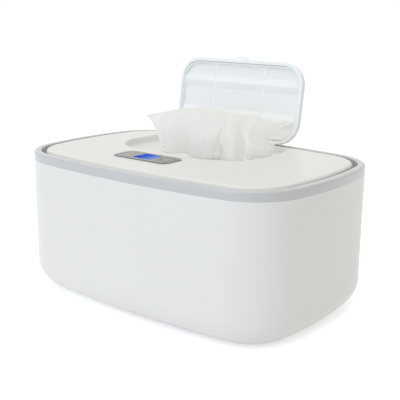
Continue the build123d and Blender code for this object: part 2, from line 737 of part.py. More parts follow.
# ---- display strip, window, display, board and its switches ---------------------------
key_spots = [feature_x + side * key_spread for side in (-1, 1)]
strip_top = strip_low + strip_thickness
strip = prism(rounded(strip_length, strip_width, strip_radius, feature_x, strip_y), strip_low, strip_top)
strip = fillet(edges_at(strip, strip_top), strip_edge_round)
strip -= prism(rounded(window_length + window_gap, window_width + window_gap, window_radius, feature_x,
                       strip_y), strip_low, strip_top)
for x in key_spots:
    strip -= prism(rounded(key_length + 2 * key_gap, key_width + 2 * key_gap, key_radius + key_gap,
                           x, strip_y), strip_low, strip_top)
parts["display_strip"] = strip
parts["display_window"] = prism(rounded(window_length, window_width, window_radius, feature_x, strip_y),
                                strip_top - window_thickness, strip_top)
lcd_length = window_length + 2 * lcd_over_ends
lcd_width = window_width + 2 * lcd_over_sides
parts["lcd_module"] = box(feature_x - lcd_length / 2, feature_x + lcd_length / 2,
                          strip_y - lcd_width / 2, strip_y + lcd_width / 2, board_level,
                          strip_low - fixed_gap)
board_under = board_level - board_thickness
display_board = box(feature_x - display_board_length / 2, feature_x + display_board_length / 2,
                    strip_y - display_board_width / 2, strip_y + display_board_width / 2,
                    board_under, board_level)
for x, y in display_bosses:
    display_board -= rod_z(small_screw_radius + board_hole_gap, x, y, board_under, board_level)
parts["display_board"] = display_board
parts["display_board_screws"] = solids_of(
    [pan_screw(small_screw_radius - thread_gap, small_head_radius, small_head_height, x, y,
               board_under - small_head_height, board_thickness + display_screw_bite)
     for x, y in display_bosses])
half = switch_size / 2
parts["key_switches"] = solids_of(
    [box(x - half, x + half, strip_y - half, strip_y + half, board_level, board_level + switch_height)
     for x in key_spots])

# ---- the two keys -------------------------------------------------------------------
post_low = board_level + switch_height + key_travel + key_clear
flange_high = strip_low - key_clear
for name, x in zip(("power_key", "heat_key"), key_spots):
    cap = prism(rounded(key_length, key_width, key_radius, x, strip_y), flange_high, strip_top)
    cap = fillet(edges_at(cap, strip_top), strip_edge_round)
    cap += prism(rounded(key_length + 2 * key_flange, key_width + 2 * key_flange, key_radius, x, strip_y),
                 flange_high - key_flange, flange_high)
    cap += rod_z(key_post_radius, x, strip_y, post_low, flange_high)
    parts[name] = cap

# ---- hatch cover and liner, modelled shut ---------------------------------------------
hatch = prism(hatch_outline(0), hatch_low, hatch_top)
hatch = fillet(edges_at(hatch, hatch_top), hatch_round)
hatch = fillet(edges_at(hatch, hatch_low), hatch_lower_round)
bulge = (tab_width / 2) ** 2 / (2 * tab_proud) + tab_proud / 2
tab_low = hatch_low + tab_rise
tab = rod_z(bulge, feature_x, free_edge - tab_proud + bulge, tab_low, tab_low + tab_thickness)
tab &= box(feature_x - tab_width, feature_x + tab_width, free_edge - 2 * tab_proud,
           free_edge + tab_root, hatch_low, hatch_top)
hatch += tab
for x in knuckles:
    hatch += box(x - knuckle_width / 2, x + knuckle_width / 2, hatch_rear - past, hatch_hinge_y,
                 hatch_low + fixed_gap, hatch_hinge_z + hatch_barrel_radius)
    hatch += rod_x(hatch_barrel_radius, x - knuckle_width / 2, x + knuckle_width / 2, hatch_hinge_y,
                   hatch_hinge_z)
hatch -= prism(hatch_outline(hatch_rim), hatch_low, hatch_top - hatch_plate)
for x in knuckles:
    hatch -= rod_x(hatch_pin_radius + running_gap, x - knuckle_width, x + knuckle_width,
                   hatch_hinge_y, hatch_hinge_z)
parts["hatch_cover"] = swing_open(hatch)

lip_inset = hatch_rim + liner_gap
lip_level = hatch_low + liner_lip_set
panel_level = hatch_low + liner_panel_set
liner_top = panel_level + liner_sheet
liner = prism(hatch_outline(lip_inset), lip_level, liner_top)
liner -= prism(hatch_outline(lip_inset + liner_lip), lip_level, panel_level)


def ridge(at, foot, crest, height):
    """Section of a rib that hangs from the panel, a little rooted in it."""
    root = panel_level + liner_sheet / 2
    return ((at - foot / 2, root), (at - foot / 2, panel_level), (at - crest / 2, panel_level - height),
            (at + crest / 2, panel_level - height), (at + foot / 2, panel_level), (at + foot / 2, root))


for share in upright_ribs:
    x = feature_x + share * hatch_width
    profile = ridge(x, upright_rib_foot, upright_rib_crest, upright_rib_height)
    rib = make_face(Plane.XZ * Polyline(*profile, close=True))
    liner += extrude(Pos(0, hatch_rear - lip_inset - rib_end_gap, 0) * rib,
                     hatch_length - 2 * (lip_inset + rib_end_gap))
for reach in cross_ribs:
    y = hatch_rear - reach
    half = hatch_width / 2 - lip_inset - rib_end_gap
    profile = ridge(y, cross_rib_foot, cross_rib_crest, cross_rib_height)
    rib = make_face(Plane.YZ * Polyline(*profile, close=True))
    liner += extrude(Pos(feature_x - half, 0, 0) * rib, 2 * half)
parts["hatch_liner"] = swing_open(liner)

# ---- one STEP file per piece ----------------------------------------------------------
os.makedirs("parts", exist_ok=True)
for name, shape in parts.items():
    shape.label = name
    export_step(shape, f"parts/{name}.step")
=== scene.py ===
import math
import random

import bpy
import bmesh
import numpy as np
from mathutils import Matrix, Vector, noise


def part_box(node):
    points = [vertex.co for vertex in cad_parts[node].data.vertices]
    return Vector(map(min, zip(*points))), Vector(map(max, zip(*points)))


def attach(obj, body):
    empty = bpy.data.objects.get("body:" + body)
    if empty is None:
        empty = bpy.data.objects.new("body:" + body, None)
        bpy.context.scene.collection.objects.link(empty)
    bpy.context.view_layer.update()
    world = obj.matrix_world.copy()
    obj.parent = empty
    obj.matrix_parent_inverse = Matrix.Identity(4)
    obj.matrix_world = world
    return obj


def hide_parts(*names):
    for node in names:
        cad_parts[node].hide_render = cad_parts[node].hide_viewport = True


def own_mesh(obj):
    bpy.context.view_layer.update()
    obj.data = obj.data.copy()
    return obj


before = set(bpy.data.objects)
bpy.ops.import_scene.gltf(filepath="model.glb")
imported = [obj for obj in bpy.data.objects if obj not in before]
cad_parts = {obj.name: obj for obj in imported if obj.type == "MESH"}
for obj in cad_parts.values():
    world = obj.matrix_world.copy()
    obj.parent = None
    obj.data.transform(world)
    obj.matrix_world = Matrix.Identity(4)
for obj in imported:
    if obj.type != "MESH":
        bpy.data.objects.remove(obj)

scene = bpy.context.scene
scene.view_settings.view_transform = "Standard"
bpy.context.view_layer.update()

# ---- view ---------------------------------------------------------------------------
# A long lens at the height of a person who leans over a changing table. It looks at the
# front and the right end of the warmer, a little from above.
view_azimuth = math.radians(38.33)
view_elevation = math.radians(14.31)
view_roll = math.radians(0.67)
view_distance = 0.573
view_lens_mm = 68.9
view_target = Vector((0.0059, 0.0, 0.0725))

back = Vector((math.sin(view_azimuth) * math.cos(view_elevation),
               -math.cos(view_azimuth) * math.cos(view_elevation),
               math.sin(view_elevation)))
level_right = Vector((math.cos(view_azimuth), math.sin(view_azimuth), 0))
level_up = back.cross(level_right)
right = level_right * math.cos(view_roll) + level_up * math.sin(view_roll)
up = back.cross(right)
camera = bpy.data.objects.new("camera", bpy.data.cameras.new("camera"))
camera.data.lens = view_lens_mm
turn = Matrix((right, up, back)).transposed().to_4x4()
camera.matrix_world = Matrix.Translation(view_target + back * view_distance) @ turn
scene.collection.objects.link(camera)
scene.camera = camera


# ---- room: pale paper floor and soft light ------------------------------------------
# Seamless white paper under a large soft box in front and a wide panel overhead. Room and
# paper show as white to the eye, to gloss and through clear plastic, with the shadow.
def linear(hex_colour):
    """Linear RGBA of an sRGB hex colour."""
    parts = [int(hex_colour[i:i + 2], 16) / 255 for i in (1, 3, 5)]
    return tuple(c / 12.92 if c <= 0.04045 else ((c + 0.055) / 1.055) ** 2.4
                 for c in parts) + (1.0,)


def blank(name):
    """A new material with an empty node tree."""
    made = bpy.data.materials.new(name)
    made.use_nodes = True
    made.node_tree.nodes.clear()
    return made


# Some sockets go by number. Mix: 0 is the share, 6 and 7 are the colours, and output 2 is
# the result. Map Range: 0 is the value, 1 and 2 are its range, 3 and 4 the result's.
def add(owner, kind, inputs=None, **settings):
    """Adds a shader node. inputs gives each socket a value or another node's output."""
    made = owner.node_tree.nodes.new(kind)
    for name, value in settings.items():
        setattr(made, name, value)
    for socket, value in (inputs or {}).items():
        if isinstance(value, bpy.types.NodeSocket):
            owner.node_tree.links.new(value, made.inputs[socket])
        else:
            made.inputs[socket].default_value = value
    return made


def seen_directly(owner):
    """1 for what the eye sees, in gloss and through clear plastic too, and 0 for light."""
    path = add(owner, "ShaderNodeLightPath").outputs
    eye = add(owner, "ShaderNodeMath", {0: path["Is Camera Ray"], 1: path["Is Glossy Ray"]})
    return add(owner, "ShaderNodeMath",
               {0: eye.outputs[0], 1: path["Is Transmission Ray"]}, use_clamp=True).outputs[0]


world = bpy.data.worlds.new("studio")
scene.world = world
world.use_nodes = True
world.node_tree.nodes.clear()
room_light = add(world, "ShaderNodeBackground", {"Color": linear("#F6F8FA"), "Strength": 0.62})
room_seen = add(world, "ShaderNodeBackground", {"Color": (1, 1, 1, 1), "Strength": 1.0})
room_mix = add(world, "ShaderNodeMixShader", {
    0: seen_directly(world), 1: room_light.outputs[0], 2: room_seen.outputs[0]})
add(world, "ShaderNodeOutputWorld", {"Surface": room_mix.outputs[0]})

# Uncoated paper: quite matt, with a faint tooth. Its fibres are finer than the render
# shows, so they are drawn about a millimetre across.
floor_half = 3.0
paper_fibre_mm = 1.11

paper = blank("white seamless paper")
fibre = add(paper, "ShaderNodeTexNoise", {"Scale": 1000 / paper_fibre_mm, "Detail": 3.0})
tooth = add(paper, "ShaderNodeBump", {
    "Strength": 0.05, "Distance": 0.0002, "Height": fibre.outputs[0]})
paper_face = add(paper, "ShaderNodeBsdfDiffuse", {
    "Color": linear("#F4F4F4"), "Normal": tooth.outputs[0]})
paper_lift = add(paper, "ShaderNodeEmission", {"Color": (1, 1, 1, 1), "Strength": 0.5})
paper_sum = add(paper, "ShaderNodeAddShader", {0: paper_face.outputs[0], 1: paper_lift.outputs[0]})
paper_mix = add(paper, "ShaderNodeMixShader", {
    0: seen_directly(paper), 1: paper_face.outputs[0], 2: paper_sum.outputs[0]})
add(paper, "ShaderNodeOutputMaterial", {"Surface": paper_mix.outputs[0]})
floor_mesh = bpy.data.meshes.new("floor")
floor_mesh.from_pydata([(x * floor_half, y * floor_half, 0)
                        for x, y in ((-1, -1), (1, -1), (1, 1), (-1, 1))], [], [(0, 1, 2, 3)])
floor_mesh.materials.append(paper)
floor = bpy.data.objects.new("floor", floor_mesh)
scene.collection.objects.link(floor)

# Each lamp's name, place and width in metres, watts and tint.
for lamp_name, place, width, watts, tint in (
        ("front_soft_box", (-0.2, -1.85, 0.65), 1.5, 11.2, "#CDE3FF"),
        ("overhead_panel", (0.05, -0.45, 1.6), 1.4, 9.7, "#FFF3E6")):
    lamp = bpy.data.lights.new(lamp_name, "AREA")
    lamp.size = width
    lamp.energy = watts
    lamp.color = linear(tint)[:3]
    hung = bpy.data.objects.new(lamp_name, lamp)
    hung.location = place
    hung.rotation_euler = (view_target - Vector(place)).to_track_quat("-Z", "Y").to_euler()
    scene.collection.objects.link(hung)


# ---- base plate ---------------------------------------------------------------------
# The tray that closes the underside, with vent slots under the power board. It is moulded
# in ABS, and four screws hold it in the shell.
def dress(material, *nodes):
    """Gives CAD nodes their finish."""
    for name in nodes:
        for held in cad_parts[name].material_slots:
            held.material = material


# The mould is spark-eroded, which leaves an even dull grain. The real grain is about
# 0.1 mm and is drawn coarser, to show. The tone drifts slowly, as the melt flowed.
grain_mm = 0.55
drift_mm = 33.3

spark_abs = blank("ABS, moulded, off-white, spark-textured")
where = add(spark_abs, "ShaderNodeTexCoord").outputs["Object"]
grain = add(spark_abs, "ShaderNodeTexVoronoi", {"Vector": where, "Scale": 1000 / grain_mm})
drift = add(spark_abs, "ShaderNodeTexNoise", {
    "Vector": where, "Scale": 1000 / drift_mm, "Detail": 3.0})
tone = add(spark_abs, "ShaderNodeMix", {
    0: drift.outputs[0], 6: linear("#E3E3E0"), 7: linear("#D9D9D6")}, data_type="RGBA")
pits = add(spark_abs, "ShaderNodeBump", {
    "Strength": 0.35, "Distance": 0.0001, "Height": grain.outputs[0]})
face = add(spark_abs, "ShaderNodeBsdfPrincipled", {
    "Base Color": tone.outputs[2], "Roughness": 0.62, "IOR": 1.53, "Normal": pits.outputs[0]})
add(spark_abs, "ShaderNodeOutputMaterial", {"Surface": face.outputs[0]})
dress(spark_abs, "base_plate")


# ---- feet ---------------------------------------------------------------------------
# Four round feet pressed out of black-grey rubber sheet and glued into the base plate. Each
# has a raised edge ring and a shallow cup, so that it grips the table.
foot_x_mm, foot_y_mm = 75.5, 34.3
foot_profile_mm = ((0.0, 0.55), (3.6, 0.5), (4.6, 0.12), (5.2, 0.0), (6.9, 0.0), (7.6, 0.18),
                   (7.95, 0.6), (8.0, 1.1), (8.0, 2.2))


def lathe(profile_mm, centre_mm, mesh, turns=48):
    """Adds a turned form to a bmesh: (radius, height) pairs about a vertical line."""
    rings = []
    for radius, height in profile_mm:
        ring = []
        for k in range(1 if radius == 0 else turns):
            angle = 2 * math.pi * k / turns
            ring.append(mesh.verts.new(((centre_mm[0] + radius * math.cos(angle)) / 1000,
                                        (centre_mm[1] + radius * math.sin(angle)) / 1000,
                                        (centre_mm[2] + height) / 1000)))
        rings.append(ring)
    for low, high in zip(rings, rings[1:]):
        for k in range(turns):
            after = (k + 1) % turns
            if len(low) == 1:
                corners = [low[0], high[k], high[after]]
            elif len(high) == 1:
                corners = [low[k], high[0], low[after]]
            else:
                corners = [low[k], high[k], high[after], low[after]]
            mesh.faces.new(corners)


def piece(name, mesh, material, body, smooth=True):
    """Makes an object of a bmesh, with its finish, and lets it ride on a body."""
    data = bpy.data.meshes.new(name)
    bmesh.ops.recalc_face_normals(mesh, faces=mesh.faces)
    mesh.to_mesh(data)
    mesh.free()
    data.materials.append(material)
    for flat in data.polygons:
        flat.use_smooth = smooth
    made = bpy.data.objects.new(name, data)
    scene.collection.objects.link(made)
    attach(made, body)
    return made


# Rubber keeps no shine: it is dark and matt, with a grey bloom in soft patches and a fine
# tooth from the press.
bloom_mm = 4.55

foot_rubber = blank("rubber, pressed, dark grey, matt")
where = add(foot_rubber, "ShaderNodeTexCoord").outputs["Object"]
bloom = add(foot_rubber, "ShaderNodeTexNoise", {
    "Vector": where, "Scale": 1000 / bloom_mm, "Detail": 4.0})
tone = add(foot_rubber, "ShaderNodeMix", {
    0: bloom.outputs[0], 6: linear("#343638"), 7: linear("#46484A")}, data_type="RGBA")
tooth = add(foot_rubber, "ShaderNodeBump", {
    "Strength": 0.25, "Distance": 0.0001, "Height": bloom.outputs[0]})
face = add(foot_rubber, "ShaderNodeBsdfPrincipled", {
    "Base Color": tone.outputs[2], "Roughness": 0.78, "IOR": 1.52, "Normal": tooth.outputs[0]})
add(foot_rubber, "ShaderNodeOutputMaterial", {"Surface": face.outputs[0]})

mesh = bmesh.new()
for foot_x in (-foot_x_mm, foot_x_mm):
    for foot_y in (-foot_y_mm, foot_y_mm):
        lathe(foot_profile_mm, (foot_x, foot_y, 0), mesh)
feet = piece("moulded_feet", mesh, foot_rubber, "base")
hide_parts("rubber_feet")


# ---- base screws --------------------------------------------------------------------
# Four self-cutting screws with pan heads and a cross recess, sunk in pockets of the base
# plate. They are cold-headed from steel wire and zinc plated. The hinge pins, the other
# screws and the cases of the sensors have the same finish.
base_screw_x_mm, base_screw_y_mm, base_screw_z_mm = 55, 51.72, 1.0
base_shank_r, base_shank_end = 1.4, 8.6

# The plating gives the eye a cold shine with a faint blue cast, hazed in small spangles.
spangle_mm = 1.43

zinc_steel = blank("steel, cold-headed, bright zinc plated")
where = add(zinc_steel, "ShaderNodeTexCoord").outputs["Object"]
spangle = add(zinc_steel, "ShaderNodeTexNoise", {
    "Vector": where, "Scale": 1000 / spangle_mm, "Detail": 3.0})
tone = add(zinc_steel, "ShaderNodeMix", {
    0: spangle.outputs[0], 6: linear("#BFC5CB"), 7: linear("#A9AEB2")}, data_type="RGBA")
haze = add(zinc_steel, "ShaderNodeMapRange", {0: spangle.outputs[0], 3: 0.24, 4: 0.42})
face = add(zinc_steel, "ShaderNodeBsdfPrincipled", {
    "Base Color": tone.outputs[2], "Metallic": 1.0, "Roughness": haze.outputs[0]})
add(zinc_steel, "ShaderNodeOutputMaterial", {"Surface": face.outputs[0]})
dress(zinc_steel, "lid_hinge_pin", "hatch_hinge_pins", "display_board_screws",
      "power_board_screws", "thermal_cutout", "temperature_sensor", "thermal_fuse")

# A head's radius and height, the share of it that is domed, and its cross recess: how far
# a wing reaches, half its width, its depth, and how far its walls slope. Then the thread's
# pitch, and its root as a share of the shank. Lengths are in millimetres.
head_r, head_h, crown = 2.75, 1.6, 0.45
wing, web, sink = 1.75, 0.42, 0.75
wing_slope, web_slope = 0.35, 0.14
thread_pitch, thread_root = 0.9, 0.72
head_rings, head_turns, shank_turns = 20, 64, 24


def pan_head(centre_mm, shank_r, shank_end, mesh):
    """A pan head that faces down, with a cross recess, and a shank with a thread above it."""
    grid = []
    for i in range(head_rings + 1):
        reach = head_r * i / head_rings
        row = []
        for k in range(head_turns if i else 1):
            angle = 2 * math.pi * k / head_turns
            x, y = reach * math.cos(angle), reach * math.sin(angle)
            dome = head_h * (1 - (reach / head_r) ** 4) * crown
            across, along = min(abs(x), abs(y)), max(abs(x), abs(y))
            sunk = min(1, max(0, (web - across) / web_slope + 0.5)) \
                * min(1, max(0, (wing - along) / wing_slope + 0.5))
            height = centre_mm[2] + crown * head_h - dome + sink * sunk
            row.append(mesh.verts.new(((centre_mm[0] + x) / 1000, (centre_mm[1] + y) / 1000,
                                       height / 1000)))
        grid.append(row)
    for low, high in zip(grid, grid[1:]):
        for k in range(head_turns):
            after = (k + 1) % head_turns
            mesh.faces.new([low[0], high[k], high[after]] if len(low) == 1 else
                           [low[k], high[k], high[after], low[after]])
    rim = [(head_r, crown * head_h), (head_r, head_h * 0.9), (head_r * 0.97, head_h),
           (shank_r, head_h)]
    for n in range(int((shank_end - head_h) / thread_pitch)):
        rim += [(shank_r, head_h + thread_pitch * (n + 0.1)),
                (shank_r * thread_root, head_h + thread_pitch * (n + 0.35)),
                (shank_r * thread_root, head_h + thread_pitch * (n + 0.75))]
    rim += [(shank_r * 0.6, shank_end - 0.4), (0, shank_end)]
    lathe(rim, centre_mm, mesh, turns=shank_turns)


mesh = bmesh.new()
for screw_x in (-base_screw_x_mm, base_screw_x_mm):
    for screw_y in (-base_screw_y_mm, base_screw_y_mm):
        pan_head((screw_x, screw_y, base_screw_z_mm), base_shank_r, base_shank_end, mesh)
base_fixings = piece("cross_head_base_screws", mesh, zinc_steel, "base")
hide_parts("base_screws")


# ---- outer shell and lid cover ------------------------------------------------------
# The body's skin and the top of the lid, injection-moulded in warm white ABS. The shell's
# upper edge holds the ring, and the lid cover carries the display strip and the hatch.

# The polished mould leaves it smooth, with a satin shine, a faint orange peel and slow
# flow marks.
peel_mm = 1.6
flow_mm = 55.0

gloss_abs = blank("ABS, moulded, warm white, satin gloss")
where = add(gloss_abs, "ShaderNodeTexCoord").outputs["Object"]
peel = add(gloss_abs, "ShaderNodeTexNoise", {
    "Vector": where, "Scale": 1000 / peel_mm, "Detail": 2.0})
flow = add(gloss_abs, "ShaderNodeTexNoise", {
    "Vector": where, "Scale": 1000 / flow_mm, "Detail": 4.0, "Roughness": 0.6})
tone = add(gloss_abs, "ShaderNodeMix", {
    0: flow.outputs[0], 6: linear("#E9E8E4"), 7: linear("#E6E5E0")}, data_type="RGBA")
shine = add(gloss_abs, "ShaderNodeMapRange", {0: flow.outputs[0], 3: 0.26, 4: 0.38})
skin = add(gloss_abs, "ShaderNodeBump", {
    "Strength": 0.05, "Distance": 0.0002, "Height": peel.outputs[0]})
face = add(gloss_abs, "ShaderNodeBsdfPrincipled", {
    "Base Color": tone.outputs[2], "IOR": 1.5, "Roughness": shine.outputs[0],
    "Normal": skin.outputs[0]})
add(gloss_abs, "ShaderNodeOutputMaterial", {"Surface": face.outputs[0]})
dress(gloss_abs, "outer_shell", "lid_cover")


# ---- trim ring ----------------------------------------------------------------------
# The band around the top of the body, clipped onto the shell's edge. It is ABS, moulded in
# pale cool grey, under a thin clear lacquer.

# The lacquer makes its flat top catch more light than its front. The blasted mould's tooth
# is finer than the render shows, and is drawn coarser.
blast_mm = 0.8
band_flow_mm = 41.7

grey_abs = blank("ABS, moulded, pale grey, clear lacquered")
where = add(grey_abs, "ShaderNodeTexCoord").outputs["Object"]
blast = add(grey_abs, "ShaderNodeTexNoise", {
    "Vector": where, "Scale": 1000 / blast_mm, "Detail": 3.0})
flow = add(grey_abs, "ShaderNodeTexNoise", {
    "Vector": where, "Scale": 1000 / band_flow_mm, "Detail": 3.0})
tone = add(grey_abs, "ShaderNodeMix", {
    0: flow.outputs[0], 6: linear("#C5C6C6"), 7: linear("#BEC0C0")}, data_type="RGBA")
skin = add(grey_abs, "ShaderNodeBump", {
    "Strength": 0.10, "Distance": 0.0001, "Height": blast.outputs[0]})
face = add(grey_abs, "ShaderNodeBsdfPrincipled", {
    "Base Color": tone.outputs[2], "Roughness": 0.34, "IOR": 1.53, "Coat Weight": 0.6,
    "Coat Roughness": 0.2, "Normal": skin.outputs[0]})
add(grey_abs, "ShaderNodeOutputMaterial", {"Surface": face.outputs[0]})
dress(grey_abs, "trim_ring")


# ---- inner tub and lid liner --------------------------------------------------------
# The water-tight tub that holds the wipes, and the liner under the lid. Both are moulded
# thick in unpigmented polypropylene. It is milky, and a little light passes into it.
cloud_mm = 22.2

milk_pp = blank("polypropylene, moulded, milky natural")
where = add(milk_pp, "ShaderNodeTexCoord").outputs["Object"]
cloud = add(milk_pp, "ShaderNodeTexNoise", {
    "Vector": where, "Scale": 1000 / cloud_mm, "Detail": 5.0})
tone = add(milk_pp, "ShaderNodeMix", {
    0: cloud.outputs[0], 6: linear("#EDEFEE"), 7: linear("#E6E9E8")}, data_type="RGBA")
drag = add(milk_pp, "ShaderNodeBump", {
    "Strength": 0.08, "Distance": 0.0003, "Height": cloud.outputs[0]})
face = add(milk_pp, "ShaderNodeBsdfPrincipled", {
    "Base Color": tone.outputs[2], "Roughness": 0.42, "IOR": 1.49, "Subsurface Weight": 0.25,
    "Subsurface Radius": (1.0, 1.0, 1.0), "Subsurface Scale": 0.0015,
    "Normal": drag.outputs[0]})
add(milk_pp, "ShaderNodeOutputMaterial", {"Surface": face.outputs[0]})
dress(milk_pp, "inner_tub", "lid_liner")


# ---- heater plate, film and felt ----------------------------------------------------
# Under the tub lies an aluminium sheet, brushed on one side. An amber polyimide film with
# etched copper tracks is bonded under it, and needled felt fills the gap below.

# Brushing gives the sheet a soft shine in streaks along its length, 50 times as long as
# they are wide. They are drawn coarser than the real 0.1 mm, to show.
brush_mm = 0.5
brush_shortening = 0.02

brushed_aluminium = blank("aluminium sheet, rolled and brushed")
where = add(brushed_aluminium, "ShaderNodeTexCoord").outputs["Object"]
drawn = add(brushed_aluminium, "ShaderNodeMapping", {
    "Vector": where, "Scale": (brush_shortening, 1.0, 1.0)})
brushing = add(brushed_aluminium, "ShaderNodeTexNoise", {
    "Vector": drawn.outputs[0], "Scale": 1000 / brush_mm, "Detail": 3.0})
rub = add(brushed_aluminium, "ShaderNodeMapRange", {0: brushing.outputs[0], 3: 0.28, 4: 0.48})
streaks = add(brushed_aluminium, "ShaderNodeBump", {
    "Strength": 0.15, "Distance": 0.0001, "Height": brushing.outputs[0]})
face = add(brushed_aluminium, "ShaderNodeBsdfPrincipled", {
    "Base Color": linear("#D2D4D6"), "Metallic": 1.0, "Roughness": rub.outputs[0],
    "Normal": streaks.outputs[0]})
add(brushed_aluminium, "ShaderNodeOutputMaterial", {"Surface": face.outputs[0]})
dress(brushed_aluminium, "heater_plate")

# The film is glossy and clear amber, and darker where a copper track lies under it. A wave
# texture repeats every 2 pi / 20 of its unit. track_share sets how much of it is bare film.
track_mm = 4.0
track_share = 0.45

etched_film = blank("polyimide film, laminated, amber, with etched copper tracks")
where = add(etched_film, "ShaderNodeTexCoord").outputs["Object"]
track = add(etched_film, "ShaderNodeTexWave", {
    "Vector": where, "Scale": 2 * math.pi * 1000 / track_mm / 20, "Distortion": 0.0},
    bands_direction="Y")
copper_here = add(etched_film, "ShaderNodeMath", {
    0: track.outputs["Fac"], 1: track_share}, operation="GREATER_THAN")
tone = add(etched_film, "ShaderNodeMix", {
    0: copper_here.outputs[0], 6: linear("#C77A1E"), 7: linear("#9A5A22")}, data_type="RGBA")
ridge = add(etched_film, "ShaderNodeBump", {
    "Strength": 0.2, "Distance": 0.0001, "Height": copper_here.outputs[0]})
face = add(etched_film, "ShaderNodeBsdfPrincipled", {
    "Base Color": tone.outputs[2], "Roughness": 0.28, "Coat Weight": 0.6,
    "Coat Roughness": 0.12, "Normal": ridge.outputs[0]})
add(etched_film, "ShaderNodeOutputMaterial", {"Surface": face.outputs[0]})
dress(etched_film, "heater_film")

# Felt has no shine at all: a fluffy grey-white mat of tangled fibres in small tufts.
tuft_mm = 0.9

needled_felt = blank("polyester felt, needled, grey-white")
where = add(needled_felt, "ShaderNodeTexCoord").outputs["Object"]
fluff = add(needled_felt, "ShaderNodeTexNoise", {
    "Vector": where, "Scale": 1000 / tuft_mm, "Detail": 6.0, "Roughness": 0.7,
    "Distortion": 1.2})
tone = add(needled_felt, "ShaderNodeMix", {
    0: fluff.outputs[0], 6: linear("#B9B8B2"), 7: linear("#E2E1DC")}, data_type="RGBA")
tufts = add(needled_felt, "ShaderNodeBump", {
    "Strength": 0.7, "Distance": 0.0005, "Height": fluff.outputs[0]})
face = add(needled_felt, "ShaderNodeBsdfPrincipled", {
    "Base Color": tone.outputs[2], "Roughness": 0.95, "Sheen Weight": 0.25,
    "Normal": tufts.outputs[0]})
add(needled_felt, "ShaderNodeOutputMaterial", {"Surface": face.outputs[0]})
dress(needled_felt, "insulation_felt")


# ---- circuit boards, their components, the switches and the inlet --------------------
# Glass-epoxy boards, screwed to the base plate and under the lid's display strip. Parts of
# black polyamide are soldered on. The inlet sits in the rear wall and holds a plated pin.

# The solder mask is glossy and clear green, and lighter over the etched copper. The tracks
# run side by side in angular blocks.
block_mm = 7.8
trace_mm = 0.975
trace_share = 0.55

masked_board = blank("glass-epoxy board, green solder mask")
where = add(masked_board, "ShaderNodeTexCoord").outputs["Object"]
blocks = add(masked_board, "ShaderNodeTexVoronoi", {"Vector": where, "Scale": 1000 / block_mm},
             distance="MANHATTAN", feature="F2")
steps = add(masked_board, "ShaderNodeMath", {
    0: blocks.outputs["Distance"], 1: block_mm / trace_mm}, operation="MULTIPLY")
saw = add(masked_board, "ShaderNodeMath", {0: steps.outputs[0]}, operation="FRACT")
traces = add(masked_board, "ShaderNodeMath", {
    0: saw.outputs[0], 1: trace_share}, operation="GREATER_THAN")
tone = add(masked_board, "ShaderNodeMix", {
    0: traces.outputs[0], 6: linear("#1D5B38"), 7: linear("#2C7A4B")}, data_type="RGBA")
step_up = add(masked_board, "ShaderNodeBump", {
    "Strength": 0.2, "Distance": 0.0001, "Height": traces.outputs[0]})
face = add(masked_board, "ShaderNodeBsdfPrincipled", {
    "Base Color": tone.outputs[2], "Roughness": 0.33, "Coat Weight": 0.3,
    "Normal": step_up.outputs[0]})
add(masked_board, "ShaderNodeOutputMaterial", {"Surface": face.outputs[0]})
dress(masked_board, "power_board", "display_board")

# Glass fibres at the polyamide's skin dull its black to a semi-matt charcoal.
glass_mm = 1.11

black_pa = blank("polyamide, moulded, black, semi-matt")
where = add(black_pa, "ShaderNodeTexCoord").outputs["Object"]
glass = add(black_pa, "ShaderNodeTexNoise", {
    "Vector": where, "Scale": 1000 / glass_mm, "Detail": 4.0})
tone = add(black_pa, "ShaderNodeMix", {
    0: glass.outputs[0], 6: linear("#202124"), 7: linear("#2B2D30")}, data_type="RGBA")
skin = add(black_pa, "ShaderNodeBump", {
    "Strength": 0.15, "Distance": 0.0001, "Height": glass.outputs[0]})
face = add(black_pa, "ShaderNodeBsdfPrincipled", {
    "Base Color": tone.outputs[2], "Roughness": 0.46, "IOR": 1.53, "Normal": skin.outputs[0]})
add(black_pa, "ShaderNodeOutputMaterial", {"Surface": face.outputs[0]})
dress(black_pa, "power_board_parts", "power_inlet", "key_switches")

# The pin in the middle of the inlet is turned brass. Its nickel plating shines warm grey,
# a little uneven where the tool has run.
tool_mark_mm = 0.667
inlet_pin_foot = (0.024, 0.060, 0.0142)
inlet_pin_profile_mm = ((1.03, 0.0), (1.03, 6.6), (0.95, 6.95), (0.6, 7.15), (0.0, 7.2))
inlet_pin_turns = 28

nickel_brass = blank("brass, turned, nickel plated")
where = add(nickel_brass, "ShaderNodeTexCoord").outputs["Object"]
tool_marks = add(nickel_brass, "ShaderNodeTexNoise", {
    "Vector": where, "Scale": 1000 / tool_mark_mm, "Detail": 2.0})
polish = add(nickel_brass, "ShaderNodeMapRange", {0: tool_marks.outputs[0], 3: 0.15, 4: 0.3})
face = add(nickel_brass, "ShaderNodeBsdfPrincipled", {
    "Base Color": linear("#C9C3B6"), "Metallic": 1.0, "Roughness": polish.outputs[0]})
add(nickel_brass, "ShaderNodeOutputMaterial", {"Surface": face.outputs[0]})
mesh = bmesh.new()
lathe(inlet_pin_profile_mm, (0, 0, 0), mesh, turns=inlet_pin_turns)
bmesh.ops.rotate(mesh, cent=(0, 0, 0), matrix=Matrix.Rotation(-math.pi / 2, 3, "X"),
                 verts=mesh.verts)
bmesh.ops.translate(mesh, vec=inlet_pin_foot, verts=mesh.verts)
piece("plated_inlet_pin", mesh, nickel_brass, "base")


# ---- seal and slot frame ------------------------------------------------------------
# The soft lip that seals the lid, and the soft frame that holds the next wipe in the slot.
# Thermoplastic elastomer, moulded in pale grey; it looks matt and slightly waxy.
wax_mm = 3.33

